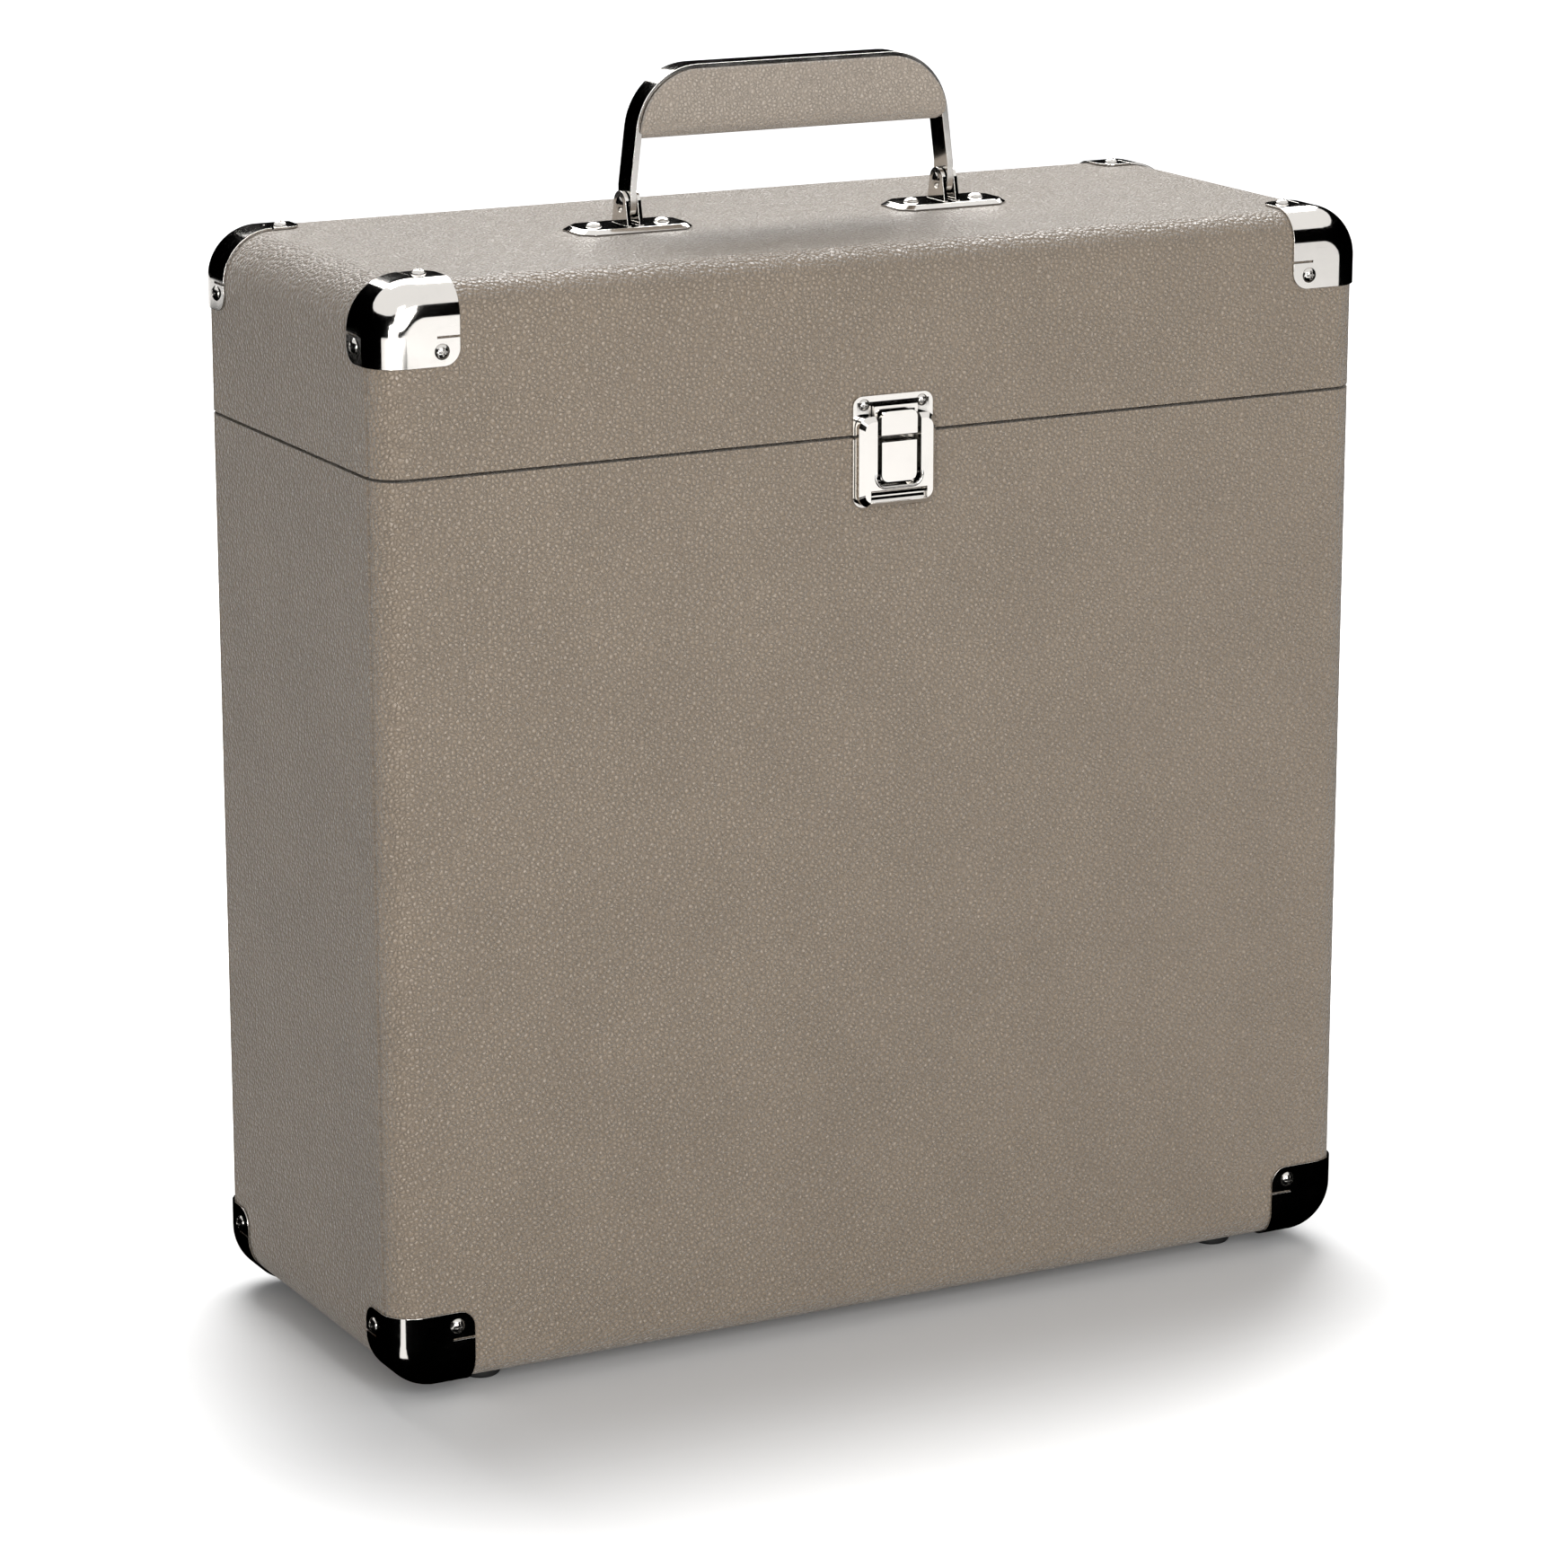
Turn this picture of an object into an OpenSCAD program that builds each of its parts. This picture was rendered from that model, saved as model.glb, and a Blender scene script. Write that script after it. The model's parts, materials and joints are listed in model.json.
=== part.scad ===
// Record carrying case: a board box with a hinged lid, covered in leatherette, with a draw latch,
// a folding handle, metal corners and rubber feet. The front faces -Y, the feet stand on Z = 0, and
// the origin is the middle of the footprint. Every length is in millimetres and every angle in degrees.

/* [Case] */
// Width of the case from side to side
case_w = 350; // [330:1:400]
// Depth of the case from front to back
case_d = 140; // [110:1:200]
// Height of the case without its feet and handle
case_h = 350; // [330:1:400]
// Height of the lid above the seam
lid_h = 59; // [50:1:90]
// Radius of the four long edges that run from front to back
edge_r = 16; // [14:1:32]
// Radius of the edges round the front and the back
face_r = 10; // [8:0.5:12]
// Gap between the rims of the lid and the body
seam_gap = 1; // [0.6:0.1:1.6]

/* [Walls] */
// Thickness of the board
board_t = 5; // [4:0.5:6]
// Thickness of the leatherette
cover_t = 0.8; // [0.6:0.1:1.2]
// Thickness of the lining
lining_t = 0.6; // [0.4:0.1:1]
// Glue line between the board and the sheets on it
glue_t = 0.1; // [0.05:0.05:0.2]

/* [Corners and feet] */
// Reach of a corner protector across the front and the top, from the side of the case
corner_w = 27; // [24:1:32]
// Reach of a corner protector along the side and the top, from the front of the case
corner_d = 21; // [19:1:28]
// Height of a corner protector, from the top or the bottom of the case
corner_h = 25; // [23:1:32]
// Thickness of the corner sheet
corner_t = 0.8; // [0.5:0.1:1.2]
// Radius of the tab round each corner screw
corner_tab_r = 5.5; // [4:0.5:7]
// Diameter of the screw heads on the corners
corner_head_d = 5; // [4:0.5:6]
// Height of the feet
foot_h = 5; // [3:0.5:12]
// Diameter of the feet at the case
foot_d = 14; // [11:0.5:20]
// Gap between a foot and the corner protector beside it
foot_gap = 4; // [2:0.5:20]
// Gap between a foot and the rounded edge at the front or the back
foot_edge_gap = 3; // [1:0.5:20]

/* [Hinges] */
// Width of a hinge
hinge_w = 40; // [30:1:60]
// Distance from a side of the case to the middle of its hinge
hinge_in = 80; // [60:1:120]
// Height of each hinge leaf
hinge_leaf_h = 22; // [16:1:28]
// Thickness of the hinge leaves
hinge_leaf_t = 1.2; // [0.8:0.1:1.6]
// Diameter of the hinge knuckles
hinge_knuckle_d = 5.2; // [4.6:0.1:6]
// Diameter of the hinge pins
hinge_pin_d = 2.6; // [2:0.1:3]

/* [Latch] */
// Width of the latch plates
latch_w = 28.4; // [27:0.2:32]
// Height of the catch plate on the lid
catch_h = 12.1; // [11.6:0.1:14]
// Height of the base plate on the body
latch_base_h = 22.3; // [21.5:0.1:26]
// Thickness of the latch sheet
latch_t = 0.9; // [0.7:0.1:1]
// How far the latch stands proud of the case
latch_proud = 5.2; // [5:0.1:6]
// Width of the catch on the lid
catch_w = 12.8; // [10:0.2:13.2]
// Height of the catch above the lid's rim
catch_rise = 7.5; // [7:0.1:8]
// Width of the link in the middle of the latch
link_w = 12.4; // [10:0.2:12.8]
// Distance between the two pivots of the link
link_len = 10; // [9:0.1:10.4]
// Width of the window in the draw ring
window_w = 15.6; // [15:0.1:16.4]

/* [Handle] */
// Width of the handle outside, at its pivots
handle_w = 117; // [100:1:150]
// Height of the handle above the case
handle_rise = 51.5; // [48:0.5:65]
// Width of the steel strap, front to back
strap_w = 9; // [7:0.5:11]
// Thickness of the steel strap
strap_t = 2.2; // [1.6:0.1:3]
// Outer radius of the strap's two bends
strap_bend_r = 22; // [16:1:26]
// Lean of the strap's legs
strap_lean = 7; // [0:1:10]
// Height of the grip from its lower side to the top of the strap
grip_h = 23; // [18:0.5:28]
// Thickness of the grip, front to back
grip_d = 14; // [12.5:0.5:15]
// Height of the pivots above the case
pivot_h = 8; // [7.5:0.5:10]
// Diameter of the pivot pins
pivot_d = 3.2; // [2.4:0.2:4]
// Length of a bracket plate, sideways
bracket_w = 40; // [34:1:50]
// Depth of a bracket plate, front to back
bracket_d = 20; // [16:1:26]
// Height of a bracket plate above the lid
bracket_t = 1.8; // [1.4:0.1:2.2]

/* [Fits] */
// Running clearance of a pin in its bore, on the radius
pin_fit = 0.05; // [0.02:0.01:0.1]
// Gap between pieces that lie on each other
skin_gap = 0.05; // [0.02:0.01:0.1]
// Gap between the moving pieces of the latch and the handle
side_gap = 0.3; // [0.2:0.05:0.35]

/* [Hidden] */
$fn = 48;
case_base = foot_h;
case_top = case_base + case_h;
seam_z = case_top - lid_h;
body_rim = seam_z - seam_gap / 2;
lid_rim = seam_z + seam_gap / 2;
front_y = -case_d / 2;
back_y = case_d / 2;
board_in = cover_t + glue_t;
hollow_in = board_in + board_t;
lining_in = hollow_in + glue_t;
room_in = lining_in + lining_t;
beyond = case_w + case_d + case_h;

// Corner protectors: the screws sit inside the rounded tab of each of the three faces
corner_screw_in = corner_tab_r + 0.5;
corner_screw_up = corner_tab_r - 1;
corner_slit = 0.6;
corner_slit_len = corner_tab_r + 2;
corner_slit_off = corner_head_d / 2 + 1.6;
corner_out = corner_t + skin_gap;
screw_shank_r = corner_head_d * 0.22;
screw_shank_len = board_t * 0.8;
corner_head_h = corner_head_d * 0.28;
side_screw_rise = edge_r - corner_h + corner_screw_up + 1;
side_screw_tilt = asin(max(side_screw_rise, 0) / edge_r);
top_screw_run = edge_r - corner_w + corner_screw_in;
top_screw_tilt = asin(max(top_screw_run, 0) / edge_r);

// Feet
foot_x = case_w / 2 - corner_w - foot_gap - foot_d / 2;
foot_y = case_d / 2 - face_r - foot_edge_gap - foot_d / 2;
foot_tip_d = foot_d - 1.2;
foot_round_r = foot_h * 0.4;
foot_recess_r = foot_d * 0.23;
foot_recess_h = foot_h * 0.6;
foot_screw_head_h = foot_recess_h * 0.6;

// Hinges
hinge_x = case_w / 2 - hinge_in;
hinge_r = hinge_knuckle_d / 2;
hinge_pin_r = hinge_pin_d / 2;
hinge_y = back_y + hinge_r;
hinge_z = seam_z;
hinge_knuckles = 5;
knuckle_gap = 0.3;
knuckle_w = hinge_w / hinge_knuckles;
hinge_rivet_r = 1.9;
hinge_shank_r = 1;
leaf_corner_r = 2;
leaf_start = 0.4;
knuckle_clear = 0.35;
hinge_pin_head_h = 0.8;
hinge_rivet_h = 0.9;
hinge_rivet_x = hinge_w / 2 - 7;
hinge_rivet_z = hinge_leaf_h * 0.6;

// Latch: depths are counted outwards from the front of the case
latch_gap = 0.35;
latch_shank_r = 0.9;
ear_r = 1.5;
link_pin_r = 0.8;
ring_pin_r = 0.6;
link_pivot_out = latch_t + 1.7;
link_pivot_z = body_rim - 2.1;
link_top_up = 0.9;
ring_pivot_out = link_pivot_out - 0.3;
ring_pivot_z = link_pivot_z - sqrt(link_len * link_len - 0.3 * 0.3);
link_bottom_z = ring_pivot_z - 1.8;
link_corner_r = 2.4;
link_round_r = 1.4;
ear_t = 0.9;
ring_w = latch_w - 1.2;
ring_bottom_z = body_rim - latch_base_h + 0.6;
ring_top_z = lid_rim + 6;
ring_corner_r = 3.6;
ring_bevel = 1.5;
ring_back = latch_t + latch_gap;
window_bottom_z = ring_pivot_z - 3.1;
window_corner_r = 3;
ring_rim_t = 0.8;
ring_pin_len = window_w + 2 * ring_rim_t;
bar_h = 1.4;
bar_d = 1.6;
bar_clear = 0.02;
catch_top_z = lid_rim + catch_rise;
catch_slope = 4;
bar_half = catch_w / 2 + side_gap + 1;
catch_screw_x = latch_w / 2 - 3.9;
catch_screw_z = lid_rim + catch_h - 2.7;
catch_head_r = 1.9;
catch_head_h = 1.1;
catch_corner_r = 3.2;
catch_round_r = 2.4;
bill_groove_r = 2.4;
bill_groove_z = ring_bottom_z + 3.3;
base_rivet_x = (window_w / 2 + ring_rim_t + ring_w / 2 - latch_t) / 2;
base_rivet_r = 1.5;
base_rivet_h = 0.8;
base_rivet_z = [ring_pivot_z + 1, link_pivot_z - 1];

// Handle
handle_top = case_top + handle_rise;
pivot_z = case_top + pivot_h;
leg_x = handle_w / 2;
leg_mid_x = leg_x - strap_t / 2;
leg_foot_z = pivot_z - strap_w / 2 - 1;
strap_bend_z = handle_top - strap_bend_r;
leg_straight = 6;
leg_lean_z = pivot_z + leg_straight;
lean_rise = strap_bend_z + strap_bend_r * sin(strap_lean) - leg_lean_z;
strap_bend_x = leg_x - strap_bend_r * cos(strap_lean) - tan(strap_lean) * lean_rise;
pivot_r = pivot_d / 2;
bracket_ear_t = 1.4;
bracket_ear_r = 4.4;
bracket_ear_base = 12;
bracket_chamfer = 4;
bracket_bevel = 3;
bracket_rivet_x = bracket_w / 2 - 8;
bracket_rivet_r = 2.8;
bracket_rivet_h = 1.3;
bracket_shank_r = 1.5;
bracket_edge_t = 0.5;
pivot_head_over = 0.9;
pivot_head_h = 0.9;
grip_shoulder = 1.4;
grip_bottom_z = handle_top - grip_h;
grip_cover_t = 1;
grip_foam_gap = 0.1;

leatherette = [0.55, 0.51, 0.46];
leatherette_light = [0.62, 0.57, 0.51];
board_brown = [0.5, 0.38, 0.26];
lining_grey = [0.13, 0.13, 0.14];
nickel = [0.78, 0.76, 0.73];
nickel_dark = [0.6, 0.58, 0.56];
rubber_black = [0.06, 0.06, 0.06];
foam_grey = [0.3, 0.3, 0.3];

RIGHT = 1;
LEFT = -1;
FRONT = -1;
BACK = 1;

// ---------------------------------------------------------------- the rounded box

// Section from a long edge's centre line out to the skin, with both face edges rounded
module edge_section(reach, half, r) {
    intersection() {
        translate([0, -half]) square([reach, 2 * half]);
        union() {
            translate([0, -half + r]) square([reach, 2 * (half - r)]);
            translate([0, -half]) square([reach - r, 2 * half]);
            for (side = [-1, 1]) translate([reach - r, side * (half - r)]) circle(r);
        }
    }
}

// The outer form of the case, moved inwards all round by the inset
module case_form(inset) {
    reach = edge_r - inset;
    half = case_d / 2 - inset;
    r = max(face_r - inset, 1);
    mid_w = case_w - 2 * edge_r;
    mid_h = case_h - 2 * edge_r;
    translate([0, 0, case_base + case_h / 2]) {
        cube([mid_w, 2 * half, mid_h], center = true);
        for (side = [0, 180]) rotate([0, side, 0]) {
            translate([mid_w / 2, 0, 0])
                linear_extrude(mid_h, center = true) edge_section(reach, half, r);
            translate([0, 0, mid_h / 2]) rotate([0, -90, 0])
                linear_extrude(mid_w, center = true) edge_section(reach, half, r);
            for (flip = [0, 1]) mirror([0, 0, flip]) translate([mid_w / 2, 0, mid_h / 2])
                rotate([90, 0, 0]) rotate_extrude(angle = 90) edge_section(reach, half, r);
        }
    }
}

module below(z) {
    translate([-beyond, -beyond, z - beyond]) cube([2 * beyond, 2 * beyond, beyond]);
}

module above(z) {
    translate([-beyond, -beyond, z]) cube([2 * beyond, 2 * beyond, beyond]);
}

// ---------------------------------------------------------------- screws and rivets

// Domed head on the plane Z = 0 with a shank below it
module domed_head(r, h) {
    dome_r = (r * r + h * h) / (2 * h);
    intersection() {
        cylinder(r = r, h = h);
        translate([0, 0, h - dome_r]) sphere(dome_r);
    }
}

module cross_screw(r, h, shank_r, shank_len) {
    slot = r * 0.28;
    difference() {
        union() {
            domed_head(r, h);
            translate([0, 0, -shank_len]) cylinder(r = shank_r, h = shank_len + h / 3);
        }
        for (turn = [0, 90]) rotate([0, 0, turn])
            translate([-r * 0.6, -slot / 2, h * 0.45]) cube([r * 1.2, slot, h]);
    }
}

module rivet(r, h, shank_r, shank_len) {
    domed_head(r, h);
    translate([0, 0, -shank_len]) cylinder(r = shank_r, h = shank_len + h / 3);
}

// ---------------------------------------------------------------- corner protectors

// A plan whose inner corner is rounded, from the origin to [a, b]
module tab_plan(a, b, r) {
    difference() {
        square([a, b]);
        difference() {
            square(r);
            translate([r, r]) circle(r);
        }
    }
}

// Moves the children from the right front top corner of the case to another corner
module at_corner(side, face, top) {
    mid_z = case_base + case_h / 2;
    translate([0, 0, mid_z]) mirror([0, 0, top ? 0 : 1]) mirror([side < 0 ? 1 : 0, 0, 0])
        mirror([0, face > 0 ? 1 : 0, 0]) translate([0, 0, -mid_z]) children();
}

// The region that a protector covers on the right front top corner
module corner_region() {
    x_in = case_w / 2 - corner_w;
    y_in = front_y + corner_d;
    z_in = case_top - corner_h;
    reach = corner_w + 10;
    intersection() {
        translate([x_in, front_y + reach, z_in]) rotate([90, 0, 0])
            linear_extrude(2 * reach) tab_plan(reach, reach, corner_tab_r);
        translate([x_in - 5 + 2 * reach, y_in, z_in]) rotate([90, 0, -90])
            linear_extrude(2 * reach) tab_plan(reach, reach, corner_tab_r);
        translate([x_in, y_in, z_in - 5]) mirror([0, 1, 0])
            linear_extrude(2 * reach) tab_plan(reach, reach, corner_tab_r);
    }
}

// Places the children on the three screws of the right front top corner, facing outwards
module on_corner_screws(lift) {
    x_in = case_w / 2 - corner_w;
    z_in = case_top - corner_h;
    y_in = front_y + corner_d;
    edge_x = case_w / 2 - edge_r;
    edge_z = case_top - edge_r;
    translate([x_in + corner_screw_in, front_y - lift, z_in + corner_screw_up])
        rotate([90, 0, 0]) children();
    translate([edge_x, y_in - corner_screw_in, edge_z + min(side_screw_rise, 0)])
        rotate([0, 90 - side_screw_tilt, 0]) translate([0, 0, edge_r + lift]) children();
    translate([edge_x + min(top_screw_run, 0), y_in - corner_screw_in + 1, edge_z])
        rotate([0, top_screw_tilt, 0]) translate([0, 0, edge_r + lift]) children();
}

module corner_protector(side, face, top) {
    x_in = case_w / 2 - corner_w;
    y_in = front_y + corner_d;
    z_in = case_top - corner_h;
    slit_z = z_in + corner_screw_up + corner_slit_off;
    slit_x = x_in + corner_screw_in + corner_slit_off;
    color(nickel) at_corner(side, face, top) difference() {
        intersection() {
            difference() {
                case_form(-corner_out);
                case_form(-skin_gap);
            }
            corner_region();
        }
        translate([x_in - 1, front_y - 5, slit_z]) cube([corner_slit_len + 1, 8, corner_slit]);
        translate([case_w / 2 - 8, y_in - corner_slit_len, slit_z])
            cube([12, corner_slit_len + 1, corner_slit]);
        translate([slit_x, y_in - corner_slit_len, case_top - 8])
            cube([corner_slit, corner_slit_len + 1, 12]);
        on_corner_screws(corner_out) translate([0, 0, -4])
            cylinder(r = screw_shank_r + skin_gap, h = 8);
    }
}

module corner_screws(top) {
    color(nickel_dark) for (side = [LEFT, RIGHT]) for (face = [FRONT, BACK])
        at_corner(side, face, top) on_corner_screws(corner_out + skin_gap)
            cross_screw(corner_head_d / 2, corner_head_h, screw_shank_r, screw_shank_len);
}

module corner_screw_holes(top) {
    for (side = [LEFT, RIGHT]) for (face = [FRONT, BACK])
        at_corner(side, face, top) on_corner_screws(corner_out + skin_gap)
            translate([0, 0, -screw_shank_len - skin_gap])
                cylinder(r = screw_shank_r + skin_gap, h = screw_shank_len + 2);
}

// ---------------------------------------------------------------- feet

module at_foot(side, face) {
    translate([side * foot_x, face * foot_y, 0]) children();
}

module foot(side, face) {
    tip_r = foot_tip_d / 2;
    root_r = foot_d / 2;
    top_z = foot_h - skin_gap;
    color(rubber_black) at_foot(side, face) rotate_extrude() difference() {
        union() {
            polygon([
                [0, 0], [tip_r - foot_round_r, 0], [tip_r, foot_round_r], [root_r, top_z], [0, top_z]
            ]);
            translate([tip_r - foot_round_r, foot_round_r]) circle(foot_round_r);
        }
        square([foot_recess_r, foot_recess_h]);
        square([screw_shank_r + skin_gap, foot_h]);
    }
}

module foot_screws() {
    color(nickel_dark) for (side = [LEFT, RIGHT]) for (face = [FRONT, BACK]) at_foot(side, face)
        translate([0, 0, foot_recess_h - skin_gap]) rotate([180, 0, 0]) cross_screw(
            foot_recess_r - 0.4, foot_screw_head_h, screw_shank_r,
            foot_h - foot_recess_h + screw_shank_len
        );
}

module foot_screw_holes() {
    for (side = [LEFT, RIGHT]) for (face = [FRONT, BACK]) at_foot(side, face)
        translate([0, 0, -1])
            cylinder(r = screw_shank_r + skin_gap, h = foot_h + screw_shank_len + 1);
}

// ---------------------------------------------------------------- hinges

// Moves the children to a hinge: X along its pin, Y out of the back, Z up, zero at the pin
module at_hinge(side) {
    translate([side * hinge_x, hinge_y, hinge_z]) children();
}

module knuckle(i, r) {
    translate([-hinge_w / 2 + i * knuckle_w + knuckle_gap / 2, 0, 0]) rotate([0, 90, 0])
        cylinder(r = r, h = knuckle_w - knuckle_gap);
}

// Clears the sweep of a knuckle on the other leaf
module knuckle_sweep(i) {
    translate([-hinge_w / 2 + i * knuckle_w - knuckle_gap / 2, 0, 0]) rotate([0, 90, 0])
        cylinder(r = hinge_r + knuckle_clear, h = knuckle_w + knuckle_gap);
}

module on_hinge_rivets(up) {
    for (side = [-1, 1])
        translate([side * hinge_rivet_x, hinge_leaf_t - hinge_r, up * hinge_rivet_z])
            rotate([-90, 0, 0]) children();
}

// up is 1 for the leaf on the lid and -1 for the leaf on the body
module hinge_leaf(side, up) {
    mine = up > 0 ? [1, 3] : [0, 2, 4];
    other = up > 0 ? [0, 2, 4] : [1, 3];
    color(nickel) at_hinge(side) difference() {
        union() {
            for (i = mine) knuckle(i, hinge_r);
            difference() {
                translate([0, skin_gap - hinge_r + hinge_leaf_t, 0]) rotate([90, 0, 0])
                    linear_extrude(hinge_leaf_t) mirror([0, up > 0 ? 0 : 1]) {
                        translate([-hinge_w / 2, leaf_start])
                            square([hinge_w, hinge_leaf_h - leaf_corner_r - leaf_start]);
                        translate([-hinge_w / 2 + leaf_corner_r, leaf_start])
                            square([hinge_w - 2 * leaf_corner_r, hinge_leaf_h - leaf_start]);
                        for (end = [-1, 1])
                            translate([
                                end * (hinge_w / 2 - leaf_corner_r),
                                hinge_leaf_h - leaf_corner_r
                            ])
                                circle(leaf_corner_r);
                    }
                for (i = other) knuckle_sweep(i);
            }
        }
        translate([-hinge_w, 0, 0]) rotate([0, 90, 0])
            cylinder(r = hinge_pin_r + pin_fit, h = 2 * hinge_w);
        on_hinge_rivets(up) translate([0, 0, -3]) cylinder(r = hinge_shank_r + skin_gap, h = 6);
    }
}

module hinge_pin(side) {
    head_r = hinge_r * 0.75;
    color(nickel_dark) at_hinge(side) rotate([0, 90, 0]) {
        cylinder(r = hinge_pin_r, h = hinge_w + 0.4, center = true);
        for (end = [0, 180]) rotate([end, 0, 0]) translate([0, 0, hinge_w / 2 + 0.1])
            domed_head(head_r, hinge_pin_head_h);
    }
}

module hinge_rivets(up) {
    color(nickel_dark) for (side = [LEFT, RIGHT]) at_hinge(side) on_hinge_rivets(up)
        translate([0, 0, 2 * skin_gap]) rivet(
            hinge_rivet_r, hinge_rivet_h, hinge_shank_r, screw_shank_len
        );
}

module hinge_rivet_holes(up) {
    for (side = [LEFT, RIGHT]) at_hinge(side) on_hinge_rivets(up)
        translate([0, 0, -screw_shank_len]) cylinder(r = hinge_shank_r + skin_gap, h = board_t);
}

// ---------------------------------------------------------------- latch

// Moves the children to the front: X to the right, Y up from Z = 0, Z outwards from the case
module on_front() {
    translate([0, front_y, 0]) rotate([90, 0, 0]) children();
}

// A flat shape in the front view that stands between two depths
module sheet_between(low, high) {
    on_front() translate([0, 0, low]) linear_extrude(high - low) children();
}

// A plate in the front view with rounded lower corners, from z0 to z1
module round_foot_plate(w, z0, z1, r) {
    translate([-w / 2, z0 + r]) square([w, z1 - z0 - r]);
    translate([-w / 2 + r, z0]) square([w - 2 * r, z1 - z0]);
    for (side = [-1, 1]) translate([side * (w / 2 - r), z0 + r]) circle(r);
}

// A flat cheek in the side view, standing at both sides between two distances from the middle
module cheeks(x0, x1) {
    for (side = [0, 1]) mirror([side, 0, 0]) translate([x0, 0, 0]) rotate([90, 0, 90])
        linear_extrude(x1 - x0) children();
}

// A point of the side view, from a distance out of the front and a height
function side_at(out, z) = [front_y - out, z];

module link_bore(r) {
    translate([0, front_y - link_pivot_out, link_pivot_z]) rotate([0, 90, 0])
        cylinder(r = r, h = latch_w, center = true);
}

module ring_bore(r) {
    translate([0, front_y - ring_pivot_out, ring_pivot_z]) rotate([0, 90, 0])
        cylinder(r = r, h = ring_pin_len + 1, center = true);
}

module on_base_rivets(lift) {
    for (side = [-1, 1]) for (z = base_rivet_z)
        translate([side * base_rivet_x, front_y - lift, z]) rotate([90, 0, 0]) children();
}

module latch_base_plate() {
    ear_x = link_w / 2 - latch_t - side_gap;
    color(nickel) difference() {
        union() {
            sheet_between(skin_gap, latch_t)
                round_foot_plate(latch_w, body_rim - latch_base_h, body_rim - 0.2, ring_corner_r);
            cheeks(ear_x - ear_t, ear_x) {
                translate(side_at(link_pivot_out, link_pivot_z)) circle(ear_r);
                translate(side_at(link_pivot_out, link_pivot_z - ear_r))
                    square([link_pivot_out - skin_gap, 2 * ear_r]);
            }
        }
        link_bore(link_pin_r + pin_fit);
        on_base_rivets(latch_t) translate([0, 0, -2]) cylinder(r = latch_shank_r + skin_gap, h = 4);
    }
}

module latch_base_rivets() {
    color(nickel_dark) on_base_rivets(latch_t + skin_gap) rivet(
        base_rivet_r, base_rivet_h, latch_shank_r, screw_shank_len
    );
}

module latch_base_rivet_holes() {
    on_base_rivets(latch_t + skin_gap) translate([0, 0, -screw_shank_len - skin_gap])
        cylinder(r = latch_shank_r + skin_gap, h = board_t);
}

module latch_link_pin() {
    color(nickel_dark) translate([0, front_y - link_pivot_out, link_pivot_z]) rotate([0, 90, 0])
        cylinder(r = link_pin_r, h = link_w + 0.2, center = true);
}

// The middle piece: a face plate with a cheek at each side that holds both pivots
module latch_link() {
    cheek_x = link_w / 2 - latch_t;
    face_in = latch_proud - latch_t;
    color(nickel) difference() {
        union() {
            sheet_between(face_in, latch_proud)
                round_foot_plate(link_w, link_bottom_z, link_pivot_z + link_top_up, link_corner_r);
            cheeks(cheek_x, link_w / 2) {
                translate(side_at(link_pivot_out, link_pivot_z)) circle(link_round_r);
                translate(side_at(ring_pivot_out, ring_pivot_z)) circle(link_round_r);
                polygon([
                    side_at(link_pivot_out - link_round_r, link_pivot_z),
                    side_at(ring_pivot_out - link_round_r, ring_pivot_z),
                    side_at(ring_pivot_out, ring_pivot_z - link_round_r),
                    side_at(face_in + 0.1, ring_pivot_z - link_round_r),
                    side_at(face_in + 0.1, link_pivot_z + link_top_up),
                    side_at(link_pivot_out, link_pivot_z + link_top_up)
                ]);
            }
        }
        link_bore(link_pin_r + pin_fit);
        ring_bore(ring_pin_r + pin_fit);
    }
}

// Outline of the draw ring, drawn in by the inset
module ring_outline(inset) {
    r = ring_corner_r - inset / 2;
    for (x = [-1, 1]) for (z = [ring_bottom_z + inset + r, ring_top_z - inset - r])
        translate([x * (ring_w / 2 - inset - r), z]) circle(r, $fn = 32);
}

// A bevelled block with the ring's outline
module ring_block(inset, back, front) {
    hull() {
        sheet_between(back, front - ring_bevel) ring_outline(inset);
        sheet_between(back, front) ring_outline(inset + ring_bevel);
    }
}

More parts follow.
